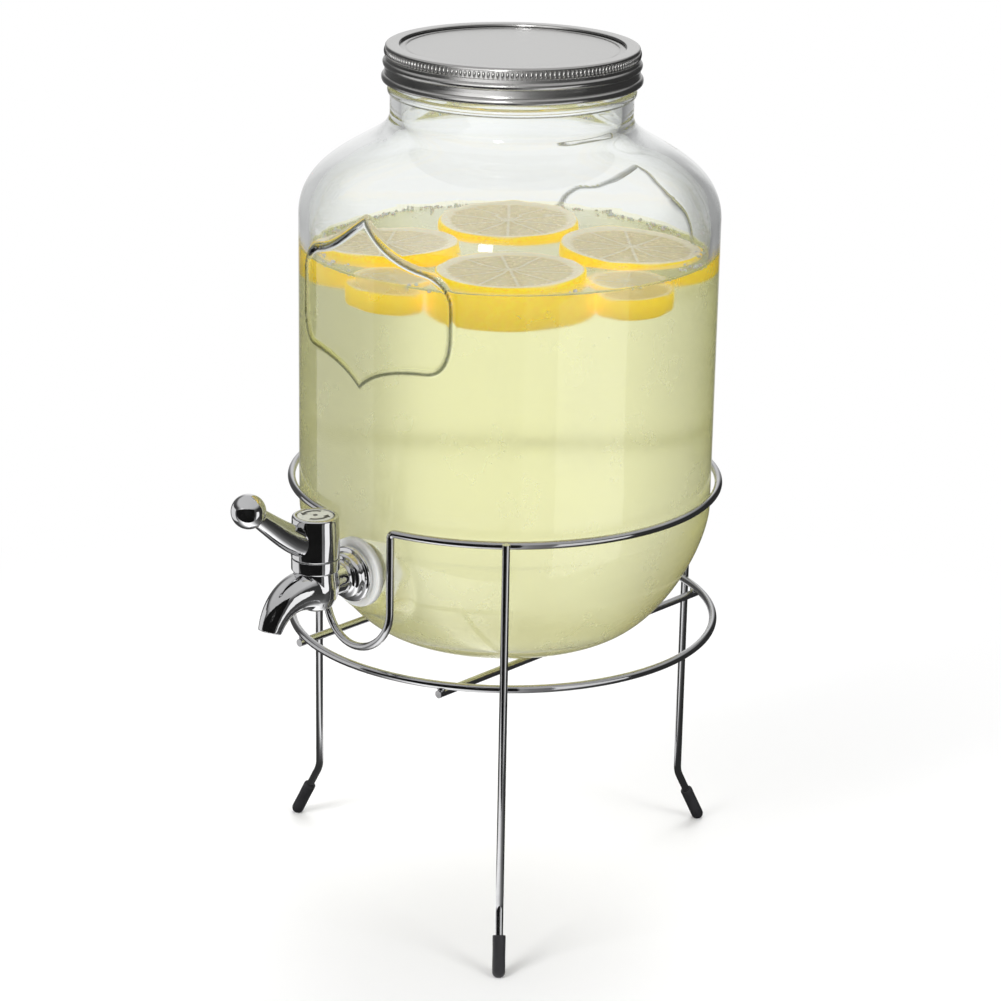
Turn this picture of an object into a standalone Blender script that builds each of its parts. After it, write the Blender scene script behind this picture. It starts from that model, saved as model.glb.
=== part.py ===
"""Drinks dispenser: a screw-lid glass jar with a lever tap, standing in a wire stand on three legs.

Sizes are in metres. The tap points along -Y and +Z is up. Azimuths are measured from the tap
towards +X, so a point at azimuth a and radius r lies at (r sin a, -r cos a).
"""

import math

import bmesh
import bpy
from mathutils import Matrix, Vector

for thing in list(bpy.data.objects):
    bpy.data.objects.remove(thing, do_unlink=True)

# Glass jar
JAR_DIAMETER = 0.180
JAR_WALL = 0.0048
JAR_BASE_THICKNESS = 0.009
JAR_FOOT_RADIUS = 0.054
HEEL_HEIGHT = 0.054
BODY_HEIGHT = 0.182
SHOULDER_HEIGHT = 0.044
NECK_DIAMETER = 0.103
NECK_HEIGHT = 0.008
FINISH_HEIGHT = 0.0135
MOUTH_WALL = 0.005
FILL_HEIGHT = 0.1685

# Screw lid
LID_HEIGHT = 0.0151
LID_SHEET = 0.0010
LID_FLANGE_WIDTH = 0.0061
LINER_THICKNESS = 0.0012

# Wire stand
WIRE = 0.0034
STAND_HEIGHT = 0.125
RING_SPACING = 0.0635
RING_CLEARANCE = 0.0016
LOOP_WIDTH = 0.038
LOOP_DEPTH = 0.0545
LOOP_BEND = 0.0022
BAR_OFFSET = 0.0415
BAR_OVERHANG = 0.002
LEG_AZIMUTH = 42.5
LEG_SPLAY = 26.7
LEG_BEND_HEIGHT = 0.0266
LEG_BEND_RADIUS = 0.012
FOOT_CAP_LENGTH = 0.018
FOOT_CAP_WALL = 0.0008
FOOT_FLAT = 0.0005

# Tap
TAP_RISE = 0.0437
TAP_REACH = 0.0252
STEM_RADIUS = 0.0062
BARREL_RADIUS = 0.0095
GASKET_DIAMETER = 0.030
GASKET_THICKNESS = 0.003
FLANGE_DIAMETER = 0.024
PASSAGE_RADIUS = 0.0034
PLUG_RADIUS = 0.0050
SPOUT_REACH = 0.0263
SPOUT_DROP = 0.0135
SPOUT_TIP_RADIUS = 0.0049
CAP_HEIGHT = 0.018
CAP_RADIUS = 0.0102
LEVER_REACH = 0.0375
LEVER_RISE = 0.0106
KNOB_RADIUS = 0.0072

# Fruit in the drink
SLICE_DIAMETER = 0.062
SLICE_THICKNESS = 0.009
THICK_SLICE_THICKNESS = 0.018
SIDE_SLICE_THICKNESS = 0.014
SIDE_SLICE_GAP = 0.0022
END_SLICE_DIAMETER = 0.032
END_SLICE_SINK = 0.0075
SLICE_FREEBOARD = 0.0025
SLICE_EDGE = 0.0018

# Clearances
FIT = 0.0003
BORE_FIT = 0.0006
HOLE_FIT = 0.0008

JAR_STEPS = 36
LID_STEPS = 36
RING_STEPS = 48
WIRE_SIDES = 8
TURN_STEPS = 20


def material(name, colour, roughness, metallic):
    made = bpy.data.materials.new(name)
    made.use_nodes = True
    shader = made.node_tree.nodes["Principled BSDF"]
    shader.inputs["Base Color"].default_value = (*colour, 1)
    shader.inputs["Roughness"].default_value = roughness
    shader.inputs["Metallic"].default_value = metallic
    return made


GLASS = material("clear_glass", (0.86, 0.91, 0.89), 0.05, 0.0)
DRINK = material("cloudy_lemonade", (0.78, 0.77, 0.50), 0.15, 0.0)
FRUIT = material("lemon", (0.93, 0.72, 0.12), 0.45, 0.0)
CHROME = material("chrome_plate", (0.72, 0.72, 0.73), 0.08, 1.0)
WIRE_CHROME = material("chromed_wire", (0.66, 0.66, 0.67), 0.14, 1.0)
TINPLATE = material("satin_tinplate", (0.62, 0.62, 0.62), 0.32, 1.0)
SILICONE = material("white_silicone", (0.86, 0.86, 0.83), 0.55, 0.0)
NYLON = material("white_nylon", (0.82, 0.83, 0.79), 0.45, 0.0)
RUBBER = material("black_rubber", (0.03, 0.03, 0.035), 0.60, 0.0)
DIAL = material("pale_dial", (0.72, 0.73, 0.66), 0.35, 0.0)

assembly = bpy.data.objects.new("assembly", None)
bpy.context.collection.objects.link(assembly)


def placed(name, mesh, look, location=(0, 0, 0)):
    obj = bpy.data.objects.new(name, mesh)
    bpy.context.collection.objects.link(obj)
    obj.parent = assembly
    obj.location = location
    if look is None:
        obj.hide_render = True
        obj.display_type = "WIRE"
    else:
        mesh.materials.append(look)
    return obj


def finished(bm, name, move=None):
    if move is not None:
        bmesh.ops.transform(bm, matrix=move, verts=bm.verts)
    bmesh.ops.recalc_face_normals(bm, faces=bm.faces)
    mesh = bpy.data.meshes.new(name)
    bm.to_mesh(mesh)
    bm.free()
    return mesh


def turned(name, profile, steps, move=None):
    """A solid of revolution about Z. The profile is a loop of (radius, height), or a chain that
    starts and ends on the axis."""
    bm = bmesh.new()
    on_axis = profile[0][0] == 0 and profile[-1][0] == 0
    rings = []
    for radius, height in profile:
        if radius == 0:
            rings.append([bm.verts.new((0, 0, height))] * steps)
            continue
        ring = []
        for i in range(steps):
            a = 2 * math.pi * i / steps
            ring.append(bm.verts.new((radius * math.cos(a), radius * math.sin(a), height)))
        rings.append(ring)
    pairs = list(zip(rings, rings[1:]))
    if not on_axis:
        pairs.append((rings[-1], rings[0]))
    for upper, lower in pairs:
        for i in range(steps):
            j = (i + 1) % steps
            corners = []
            for vert in (upper[i], upper[j], lower[j], lower[i]):
                if vert not in corners:
                    corners.append(vert)
            if len(corners) > 2:
                bm.faces.new(corners)
    return finished(bm, name, move)


def swept(name, path, radii, sides, closed=False, across=None):
    """A round bar along a path, with a radius for each point. Its rings keep one corner towards
    the given side, or away from the Z axis, so that the bar doesn't twist."""
    bm = bmesh.new()
    count = len(path)
    rings = []
    for k in range(count):
        before = path[k - 1] if closed or k else 2 * path[0] - path[1]
        after = path[(k + 1) % count] if closed or k < count - 1 else 2 * path[-1] - path[-2]
        into = (path[k] - before).normalized()
        out = (after - path[k]).normalized()
        ahead = (into + out).normalized()
        side = across if across else Vector((path[k].x, path[k].y, 0)).normalized()
        side = (side - ahead * side.dot(ahead)).normalized()
        lift = ahead.cross(side)
        toward = out - into
        toward = toward - ahead * toward.dot(ahead)
        ring = []
        for i in range(sides):
            a = 2 * math.pi * (i + 0.5) / sides
            reach = side * math.cos(a) + lift * math.sin(a)
            if toward.length > 1e-6:
                bend = toward.normalized()
                reach = reach + bend * reach.dot(bend) * (1 / ahead.dot(into) - 1)
            ring.append(bm.verts.new(path[k] + reach * radii[k]))
        rings.append(ring)
    pairs = list(zip(rings, rings[1:]))
    if closed:
        pairs.append((rings[-1], rings[0]))
    else:
        bm.faces.new(rings[0])
        bm.faces.new(rings[-1])
    for first, second in pairs:
        for i in range(sides):
            j = (i + 1) % sides
            bm.faces.new((first[i], first[j], second[j], second[i]))
    return finished(bm, name)


def wire(name, path, closed=False):
    return swept(name, path, [WIRE / 2] * len(path), WIRE_SIDES, closed)


def block(name, low, high):
    bm = bmesh.new()
    bmesh.ops.create_cube(bm, size=1)
    size = Vector(high) - Vector(low)
    middle = (Vector(high) + Vector(low)) / 2
    return finished(bm, name, Matrix.Translation(middle) @ Matrix.Diagonal((*size, 1)))


def rod(name, radius, low, high, steps=TURN_STEPS, move=None):
    return turned(name, [(0, high), (radius, high), (radius, low), (0, low)], steps, move)


def combine(obj, operation, other):
    modifier = obj.modifiers.new(operation.lower() + "_" + other.name, "BOOLEAN")
    modifier.operation = operation
    modifier.solver = "EXACT"
    modifier.object = other


def cut(obj, mesh, location=(0, 0, 0)):
    combine(obj, "DIFFERENCE", placed(mesh.name, mesh, None, location))


def join(obj, mesh, location=(0, 0, 0)):
    combine(obj, "UNION", placed(mesh.name, mesh, None, location))


def bezier(points, count):
    made = []
    for i in range(count + 1):
        t = i / count
        weights = ((1 - t) ** 3, 3 * t * (1 - t) ** 2, 3 * t * t * (1 - t), t ** 3)
        made.append(sum((w * Vector(p) for w, p in zip(weights, points)), Vector([0] * len(points[0]))))
    return made


def heel(foot, low, wall, high, count):
    """The rounded lower corner of the jar, from its flat foot up to the straight wall."""
    made = []
    for i in range(count + 1):
        a = math.pi / 2 * i / count
        across = math.sin(a) ** (2 / 1.5)
        down = math.cos(a) ** (2 / 1.5)
        made.append((foot + (wall - foot) * across, high - (high - low) * down))
    return made


def pairs_of(points):
    return [(p[0], p[1]) for p in points]


def around(radius, azimuth, height=0):
    a = math.radians(azimuth)
    return Vector((radius * math.sin(a), -radius * math.cos(a), height))


# Levels that follow from the sizes
ring_radius = JAR_DIAMETER / 2 + RING_CLEARANCE + WIRE / 2
upper_ring_height = STAND_HEIGHT + RING_SPACING
bar_height = STAND_HEIGHT - WIRE - FIT
jar_base = bar_height + WIRE / 2 + FIT
jar_radius = JAR_DIAMETER / 2
inner_radius = jar_radius - JAR_WALL
neck_radius = NECK_DIAMETER / 2
mouth_radius = neck_radius - MOUTH_WALL
finish_radius = neck_radius - 0.001
neck_base = BODY_HEIGHT + SHOULDER_HEIGHT
bead_base = neck_base + NECK_HEIGHT
rim = bead_base + 0.003 + FINISH_HEIGHT
tap_height = jar_base + TAP_RISE
tap_face = jar_radius + 0.001
inner_face = inner_radius - 0.0004

# The jar stands over the bars, so its own objects share a base at the jar's axis
jar_place = (0, 0, jar_base)


def inner_heel(gap):
    return heel(
        JAR_FOOT_RADIUS - 0.004 - gap,
        JAR_BASE_THICKNESS + gap,
        inner_radius - gap,
        HEEL_HEIGHT,
        8,
    )


def shoulder(body, throat, low, high, count):
    rise = high - low
    return pairs_of(
        bezier(
            (
                (body, low),
                (body, low + 0.64 * rise),
                (throat, high - 0.32 * rise),
                (throat, high),
            ),
            count,
        )
    )


outside = [(0, 0.0025), (JAR_FOOT_RADIUS - 0.012, 0.0025), (JAR_FOOT_RADIUS - 0.007, 0)]
outside += heel(JAR_FOOT_RADIUS, 0, jar_radius, HEEL_HEIGHT, 9)
outside += shoulder(jar_radius, neck_radius, BODY_HEIGHT, neck_base, 10)
outside += [
    (neck_radius, bead_base - 0.0003),
    (neck_radius + 0.001, bead_base + 0.0006),
    (neck_radius + 0.001, bead_base + 0.0024),
    (finish_radius, bead_base + 0.0034),
    (finish_radius, rim - 0.001),
    (finish_radius - 0.001, rim),
]
inside = [(mouth_radius + 0.001, rim), (mouth_radius, rim - 0.001)]
inside += shoulder(
    inner_radius, mouth_radius, BODY_HEIGHT - 0.002, neck_base - 0.004, 9
)[::-1]
inside += inner_heel(0)[::-1]
inside += [(0, JAR_BASE_THICKNESS)]

outward = Matrix(((1, 0, 0, 0), (0, 0, -1, 0), (0, 1, 0, 0), (0, 0, 0, 1)))

glass_jar = placed("glass_jar", turned("glass_jar", outside + inside, JAR_STEPS), GLASS, jar_place)
# A flat pad on the outside, and a flat spot on the inside, seat the two tap washers
pad_radius = GASKET_DIAMETER / 2 + 0.0015
pad = turned(
    "tap_pad",
    [
        (0, tap_face),
        (pad_radius, tap_face),
        (pad_radius + 0.004, tap_face - 0.014),
        (0, tap_face - 0.014),
    ],
    28,
    outward,
)
pad_object = placed("tap_pad", pad, None, (0, 0, tap_height))
# The pad ends inside the thickness of the wall
mid_wall = [(0, BODY_HEIGHT), (inner_radius + JAR_WALL / 2, BODY_HEIGHT)]
mid_wall += heel(
    JAR_FOOT_RADIUS - 0.002,
    JAR_BASE_THICKNESS / 2,
    inner_radius + JAR_WALL / 2,
    HEEL_HEIGHT,
    9,
)[::-1]
mid_wall += [(0, JAR_BASE_THICKNESS / 2)]
cut(pad_object, turned("mid_wall", mid_wall, JAR_STEPS), jar_place)
combine(glass_jar, "UNION", pad_object)
spot_radius = FLANGE_DIAMETER / 2 + 0.0016
cut(
    glass_jar,
    rod("tap_spot", spot_radius, inner_face - 0.020, inner_face, 28, outward),
    (0, 0, tap_height),
)
cut(
    glass_jar,
    rod("tap_hole", STEM_RADIUS + HOLE_FIT, inner_face - 0.010, tap_face + 0.01, 24, outward),
    (0, 0, tap_height),
)

# Drink, filled a hair short of the glass, and the fruit that floats in it
surface = FILL_HEIGHT
drink_profile = [(0, surface), (inner_radius - FIT, surface)]
drink_profile += inner_heel(FIT)[::-1]
drink_profile += [(0, JAR_BASE_THICKNESS + FIT)]
lemonade = placed(
    "lemonade", turned("lemonade", drink_profile, JAR_STEPS), DRINK, jar_place
)
stem_end = inner_face - 0.0105
cut(
    lemonade,
    rod("tap_pocket", spot_radius + 0.0006, stem_end - 0.0012, tap_face, 20, outward),
    (0, 0, tap_height),
)

slice_radius = min(SLICE_DIAMETER / 2, inner_radius / 2.62)
berth = 1.5 * slice_radius
end_radius = min(END_SLICE_DIAMETER / 2, 0.19 * inner_radius)
end_berth = inner_radius - end_radius - 0.0018
side_berth = inner_radius - slice_radius - SIDE_SLICE_GAP
# Each slice has its azimuth, distance from the axis, radius, thickness, lean and sink
slices = (
    (LEG_AZIMUTH, berth, slice_radius, THICK_SLICE_THICKNESS, 1.6, 0),
    (LEG_AZIMUTH + 90, side_berth, slice_radius, SLICE_THICKNESS, 4.0, 0),
    (LEG_AZIMUTH + 180, berth, slice_radius, SLICE_THICKNESS, -1.5, 0),
    (LEG_AZIMUTH - 90, side_berth, slice_radius, SIDE_SLICE_THICKNESS, 2.5, 0),
    (LEG_AZIMUTH + 45, end_berth, end_radius, SLICE_THICKNESS, 2.4, END_SLICE_SINK),
    (LEG_AZIMUTH - 45, end_berth, end_radius, SLICE_THICKNESS, -2.2, END_SLICE_SINK),
)


def disc_profile(radius, thickness):
    edge = min(SLICE_EDGE, 0.22 * thickness)
    return [
        (0, 0),
        (radius - edge, 0),
        (radius, -edge),
        (radius, edge - thickness),
        (radius - edge, -thickness),
        (0, -thickness),
    ]


for number, (azimuth, distance, radius, thickness, lean, sink) in enumerate(slices, 1):
    seat = around(distance, azimuth, jar_base + surface + SLICE_FREEBOARD - sink)
    lean_move = Matrix.Rotation(math.radians(lean), 4, around(1, azimuth + 60))
    steps = 22 if radius == slice_radius else 18
    shape = turned(f"lemon_slice_{number}", disc_profile(radius, thickness), steps, lean_move)
    placed(f"lemon_slice_{number}", shape, FRUIT, seat)
    room = rod(
        f"slice_room_{number}",
        (radius + FIT) / math.cos(math.pi / steps),
        -thickness - FIT,
        sink + 0.012,
        steps,
        lean_move,
    )
    cut(lemonade, room, seat)

# Lid: a flat disc with a sealing liner, held down by a screw band
liner_base = jar_base + rim + FIT
disc_base = liner_base + LINER_THICKNESS + FIT
band_top = disc_base + LID_SHEET + FIT + LID_SHEET
band_base = band_top - LID_HEIGHT
band_radius = finish_radius + 0.0032
disc_radius = band_radius - LID_SHEET - 0.0010
flange_inner = band_radius - LID_FLANGE_WIDTH
lid_disc = placed(
    "lid_disc",
    turned(
        "lid_disc",
        [
            (0, LID_SHEET),
            (disc_radius - 0.0003, LID_SHEET),
            (disc_radius, LID_SHEET / 2),
            (disc_radius - 0.0003, 0),
            (0, 0),
        ],
        LID_STEPS,
    ),
    TINPLATE,
    (0, 0, disc_base),
)
lid_liner = placed(
    "lid_liner",
    turned(
        "lid_liner",
        [
            (disc_radius - 0.0012, LINER_THICKNESS),
            (disc_radius - 0.0012, 0),
            (mouth_radius - 0.0006, 0),
            (mouth_radius - 0.0006, LINER_THICKNESS),
        ],
        LID_STEPS,
    ),
    SILICONE,
    (0, 0, liner_base),
)
band = [
    (flange_inner, LID_HEIGHT),
    (band_radius - 0.0012, LID_HEIGHT),
    (band_radius, LID_HEIGHT - 0.0011),
    (band_radius, 0.645 * LID_HEIGHT),
    (band_radius + 0.0009, 0.560 * LID_HEIGHT),
    (band_radius + 0.0009, 0.470 * LID_HEIGHT),
    (band_radius + 0.0001, 0.390 * LID_HEIGHT),
    (band_radius + 0.0001, 0.210 * LID_HEIGHT),
    (band_radius + 0.0014, 0.135 * LID_HEIGHT),
    (band_radius + 0.0014, 0.060 * LID_HEIGHT),
    (band_radius + 0.0006, 0),
    (band_radius - 0.0004, 0),
    (band_radius - LID_SHEET, 0.210 * LID_HEIGHT),
    (band_radius - LID_SHEET, LID_HEIGHT - LID_SHEET),
    (flange_inner, LID_HEIGHT - LID_SHEET),
]
screw_band = placed(
    "screw_band", turned("screw_band", band, LID_STEPS), TINPLATE, (0, 0, band_base)
)


# Wire stand. The upper ring dips round the tap in a loop bent to the ring's own curve.
def on_ring(along, height):
    return around(ring_radius, math.degrees(along / ring_radius), height)


half_loop = LOOP_WIDTH / 2
girth = 2 * math.pi * ring_radius
track = []
for i in range(RING_STEPS + 1):
    start = half_loop + LOOP_BEND
    track.append((start + (girth - 2 * start) * i / RING_STEPS, upper_ring_height))
arm_top = upper_ring_height - LOOP_BEND
arm_foot = upper_ring_height - LOOP_DEPTH + half_loop
for i in (1, 2, 3):
    a = math.pi / 2 * i / 3
    track.append(
        (
            girth - half_loop - LOOP_BEND + LOOP_BEND * math.sin(a),
            arm_top + LOOP_BEND * math.cos(a),
        )
    )
for i in range(11):
    a = math.pi * i / 10
    track.append((girth - half_loop * math.cos(a), arm_foot - half_loop * math.sin(a)))
for i in (0, 1, 2):
    a = math.pi / 2 * i / 3
    track.append(
        (
            girth + half_loop + LOOP_BEND - LOOP_BEND * math.cos(a),
            arm_top + LOOP_BEND * math.sin(a),
        )
    )
loop_path = [on_ring(*point) for point in track]

placed("upper_ring", wire("upper_ring", loop_path, True), WIRE_CHROME)
circle = [around(ring_radius, 360 * i / RING_STEPS, STAND_HEIGHT) for i in range(RING_STEPS)]
placed("lower_ring", wire("lower_ring", circle, True), WIRE_CHROME)

bar_half = math.sqrt(ring_radius ** 2 - BAR_OFFSET ** 2) + BAR_OVERHANG
bar_turn = Matrix.Rotation(math.pi / WIRE_SIDES, 4, "Z")
for name, side in (("base_bar_right", 1), ("base_bar_left", -1)):
    shape = rod(name, WIRE / 2, -bar_half, bar_half, WIRE_SIDES, outward @ bar_turn)
    placed(name, shape, WIRE_CHROME, (side * BAR_OFFSET, 0, bar_height))

leg_radius = ring_radius + WIRE + FIT
splay = math.radians(LEG_SPLAY)
cap_radius = WIRE / 2 + FIT + FOOT_CAP_WALL
foot_centre = cap_radius - FOOT_FLAT
bend_reach = LEG_BEND_RADIUS * math.tan(splay / 2)
leg_track = [(leg_radius, upper_ring_height + WIRE / 2)]
bend_start = LEG_BEND_HEIGHT + bend_reach
for i in range(6):
    a = splay * i / 5
    leg_track.append(
        (
            leg_radius + LEG_BEND_RADIUS * (1 - math.cos(a)),
            bend_start - LEG_BEND_RADIUS * math.sin(a),
        )
    )
leg_tip = leg_track[-1][0] + (leg_track[-1][1] - foot_centre) * math.tan(splay)
wire_stop = FIT / math.cos(splay)
leg_track.append((leg_tip - wire_stop * math.tan(splay), foot_centre + wire_stop))

cap_profile = [
    (WIRE / 2 + FIT, FOOT_CAP_LENGTH),
    (cap_radius - 0.0003, FOOT_CAP_LENGTH),
    (cap_radius, FOOT_CAP_LENGTH - 0.001),
    (cap_radius, cap_radius),
]
for i in (1, 2, 3):
    a = math.pi / 2 * i / 4
    cap_profile.append((cap_radius * math.cos(a), cap_radius * (1 - math.sin(a))))
cap_profile += [(0, 0)]
cap_bore = rod("wire_bore", WIRE / 2 + FIT, cap_radius, FOOT_CAP_LENGTH + 0.002, 12)
legs = (
    ("front", LEG_AZIMUTH),
    ("rear", LEG_AZIMUTH + 120),
    ("side", LEG_AZIMUTH - 120),
)
for word, azimuth in legs:
    path = [around(r, azimuth, h) for r, h in leg_track]
    placed(f"leg_{word}", wire(f"leg_{word}", path), WIRE_CHROME)
    lean_move = Matrix.Rotation(math.radians(azimuth), 4, "Z") @ Matrix.Rotation(-splay, 4, "X")
    lean_move = lean_move @ Matrix.Translation((0, 0, -cap_radius))
    shell = [(0, FOOT_CAP_LENGTH)] + cap_profile[1:]
    cap = placed(
        f"foot_cap_{word}",
        turned(f"foot_cap_{word}", shell, 12, lean_move),
        RUBBER,
        around(leg_tip, azimuth, foot_centre),
    )
    bore = cap_bore.copy()
    bore.name = f"wire_bore_{word}"
    bore.transform(lean_move)
    cut(cap, bore, around(leg_tip, azimuth, foot_centre))
    sole = block(f"sole_{word}", (-0.01, -0.01, -0.01), (0.01, 0.01, 0))
    cut(cap, sole, around(leg_tip, azimuth, 0))

# Tap, built about the stem axis and the upright valve axis
tap_axis = tap_face + TAP_REACH
valve_place = (0, -tap_axis, tap_height)
gasket_start = tap_face + FIT
gasket_end = gasket_start + GASKET_THICKNESS
hole_radius = STEM_RADIUS + FIT
placed(
    "outer_gasket",
    turned(
        "outer_gasket",
        [
            (GASKET_DIAMETER / 2 - 0.0008, gasket_end),
            (GASKET_DIAMETER / 2, gasket_end - 0.0008),
            (GASKET_DIAMETER / 2, gasket_start),
            (hole_radius, gasket_start),
            (hole_radius, gasket_end),
        ],
        28,
        outward,
    ),
    SILICONE,
    (0, 0, tap_height),
)
flange_radius = FLANGE_DIAMETER / 2
flange_start = gasket_end + FIT
stem_profile = [
    (0, tap_axis),
    (STEM_RADIUS + 0.0004, tap_axis),
    (STEM_RADIUS + 0.0004, flange_start + 0.0075),
    (flange_radius - 0.0028, flange_start + 0.0056),
    (flange_radius - 0.0022, flange_start + 0.0030),
    (flange_radius - 0.0006, flange_start + 0.0026),
    (flange_radius, flange_start + 0.0018),
    (flange_radius, flange_start),
    (STEM_RADIUS, flange_start),
    (STEM_RADIUS, stem_end),
    (0, stem_end),
]
barrel_foot = -0.0105
collar_top = 0.0127
barrel_profile = [
    (0, collar_top),
    (BARREL_RADIUS + 0.0006, collar_top),
    (BARREL_RADIUS + 0.0006, collar_top - 0.0050),
    (BARREL_RADIUS - 0.0007, collar_top - 0.0058),
    (BARREL_RADIUS, 0.0015),
    (BARREL_RADIUS - 0.0004, -0.0040),
    (BARREL_RADIUS - 0.0022, -0.0080),
    (BARREL_RADIUS - 0.0055, -0.0100),
    (0, barrel_foot),
]
tap_body = placed(
    "tap_body", turned("tap_body", barrel_profile, 20), CHROME, valve_place
)
stem_shape = turned("tap_stem", stem_profile, 20, outward)
join(tap_body, stem_shape, (0, 0, tap_height))
spout_path = bezier(
    (
        (0, -0.001, -0.0012),
        (0, -0.50 * SPOUT_REACH, 0.0022),
        (0, -0.87 * SPOUT_REACH, -0.20 * SPOUT_DROP),
        (0, -SPOUT_REACH, -SPOUT_DROP),
    ),
    9,
)
spout_radii = []
for i in range(10):
    spout_radii.append(BARREL_RADIUS - 0.0004 + (SPOUT_TIP_RADIUS - BARREL_RADIUS + 0.0004) * i / 9)
sideways = Vector((1, 0, 0))
join(tap_body, swept("spout", spout_path, spout_radii, 14, across=sideways), valve_place)
bore_radius = PLUG_RADIUS + BORE_FIT
cut(tap_body, rod("plug_bore", bore_radius, -0.0078, collar_top + 0.005, 20), valve_place)
inlet = rod("inlet_bore", PASSAGE_RADIUS, stem_end - 0.004, tap_axis, 16, outward)
cut(tap_body, inlet, (0, 0, tap_height))
drain_path = list(spout_path)
drain_path.append(2 * drain_path[-1] - drain_path[-2])
drain_radii = [min(PASSAGE_RADIUS, SPOUT_TIP_RADIUS - 0.0012)] * len(drain_path)
cut(tap_body, swept("spout_bore", drain_path, drain_radii, 12, across=sideways), valve_place)

seal_start = inner_face - FIT
seal_end = seal_start - 0.002
placed(
    "inner_gasket",
    turned(
        "inner_gasket",
        [
            (flange_radius - 0.0004, seal_start),
            (flange_radius - 0.0004, seal_end),
            (hole_radius, seal_end),
            (hole_radius, seal_start),
        ],
        24,
        outward,
    ),
    SILICONE,
    (0, 0, tap_height),
)
nut_start = seal_end - FIT
lock_nut = placed(
    "lock_nut",
    rod("lock_nut", flange_radius, nut_start - 0.006, nut_start, 6, outward),
    NYLON,
    (0, 0, tap_height),
)
cut(
    lock_nut,
    rod("nut_bore", hole_radius, nut_start - 0.008, nut_start + 0.002, 20, outward),
    (0, 0, tap_height),
)

# Valve plug, with a cross port that lines up with the stem a quarter turn from rest
plug_base = -0.0075
plug_top = 0.0165
drive_top = 0.0215
groove = PLUG_RADIUS - 0.0010
ring_levels = (0.0062, 0.0100)
plug_profile = [(0, plug_top), (PLUG_RADIUS, plug_top)]
for level in ring_levels[::-1]:
    plug_profile += [
        (PLUG_RADIUS, level + 0.0009),
        (groove, level + 0.0009),
        (groove, level - 0.0009),
        (PLUG_RADIUS, level - 0.0009),
    ]
plug_profile += [(PLUG_RADIUS, plug_base), (0, plug_base)]
valve_plug = placed(
    "valve_plug", turned("valve_plug", plug_profile, 20), NYLON, valve_place
)
drive = 0.0030
join(
    valve_plug,
    block("plug_drive", (-drive, -drive, plug_top - 0.002), (drive, drive, drive_top)),
    valve_place,
)
sideways_turn = Matrix.Rotation(math.pi / 2, 4, "Y")
port_reach = PLUG_RADIUS + 0.003
cut(
    valve_plug,
    rod("plug_port", PASSAGE_RADIUS - 0.0002, -port_reach, port_reach, 16, sideways_turn),
    valve_place,
)
cut(valve_plug, rod("screw_hole", 0.0017, 0.0140, drive_top + 0.002, 12), valve_place)
for number, level in enumerate(ring_levels, 1):
    mid = (groove + FIT + bore_radius - FIT) / 2
    half = (bore_radius - groove - 2 * FIT) / 2
    loop = []
    for i in range(6):
        a = math.pi / 3 * i
        loop.append((mid + half * math.cos(a), level + half * math.sin(a)))
    placed(
        f"o_ring_{number}",
        turned(f"o_ring_{number}", loop, 20),
        RUBBER,
        valve_place,
    )

# Lever: a tapered cap over the valve, with a curved arm and a ball knob
cap_base = collar_top + FIT
cap_top = cap_base + CAP_HEIGHT
lever_profile = [
    (0, cap_top),
    (CAP_RADIUS - 0.0013, cap_top),
    (CAP_RADIUS - 0.0005, cap_top - 0.0010),
    (CAP_RADIUS, cap_base + 0.0008),
    (CAP_RADIUS - 0.0004, cap_base),
    (0, cap_base),
]
tap_lever = placed("tap_lever", turned("tap_lever", lever_profile, 24), CHROME, valve_place)
knob_height = cap_top + LEVER_RISE
arm_root = cap_base + 0.42 * CAP_HEIGHT
arm_path = bezier(
    (
        (0, -0.50 * CAP_RADIUS, arm_root),
        (0, -0.38 * LEVER_REACH, arm_root + 0.08 * (knob_height - arm_root)),
        (0, -0.68 * LEVER_REACH, arm_root + 0.60 * (knob_height - arm_root)),
        (0, -LEVER_REACH, knob_height),
    ),
    8,
)
arm_radii = []
for i in range(9):
    arm_radii.append(0.0066 - 0.0030 * min(1, i / 7))
join(tap_lever, swept("lever_arm", arm_path, arm_radii, 14, across=sideways), valve_place)
knob = bmesh.new()
bmesh.ops.create_uvsphere(knob, u_segments=18, v_segments=11, radius=KNOB_RADIUS)
join(tap_lever, finished(knob, "knob"), (0, -tap_axis - LEVER_REACH, tap_height + knob_height))
dial_radius = 0.74 * CAP_RADIUS
cut(
    tap_lever,
    rod("dial_recess", dial_radius + FIT, cap_top - 0.0016, cap_top + 0.004, 24),
    valve_place,
)
screw_seat = cap_top - 0.0052
cut(tap_lever, rod("screw_seat", 0.0034, screw_seat, cap_top + 0.003, 16), valve_place)
cut(tap_lever, rod("screw_way", 0.0019, drive_top - 0.0005, screw_seat + 0.0015, 12), valve_place)
socket = drive + FIT
cut(
    tap_lever,
    block("drive_socket", (-socket, -socket, cap_base + 0.001), (socket, socket, drive_top + FIT)),
    valve_place,
)
cut(
    tap_lever,
    rod("plug_relief", PLUG_RADIUS + BORE_FIT, cap_base - 0.004, plug_top + FIT, 20),
    valve_place,
)
placed(
    "dial_insert",
    rod("dial_insert", dial_radius, cap_top - 0.0013, cap_top - 0.0001, 24),
    DIAL,
    valve_place,
)
screw_profile = [
    (0, screw_seat + 0.0025),
    (0.0026, screw_seat + 0.0025),
    (0.0030, screw_seat + 0.0020),
    (0.0030, screw_seat + FIT),
    (0.0014, screw_seat + FIT),
    (0.0014, 0.0150),
    (0, 0.0150),
]
placed("lever_screw", turned("lever_screw", screw_profile, 12), TINPLATE, valve_place)

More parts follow.
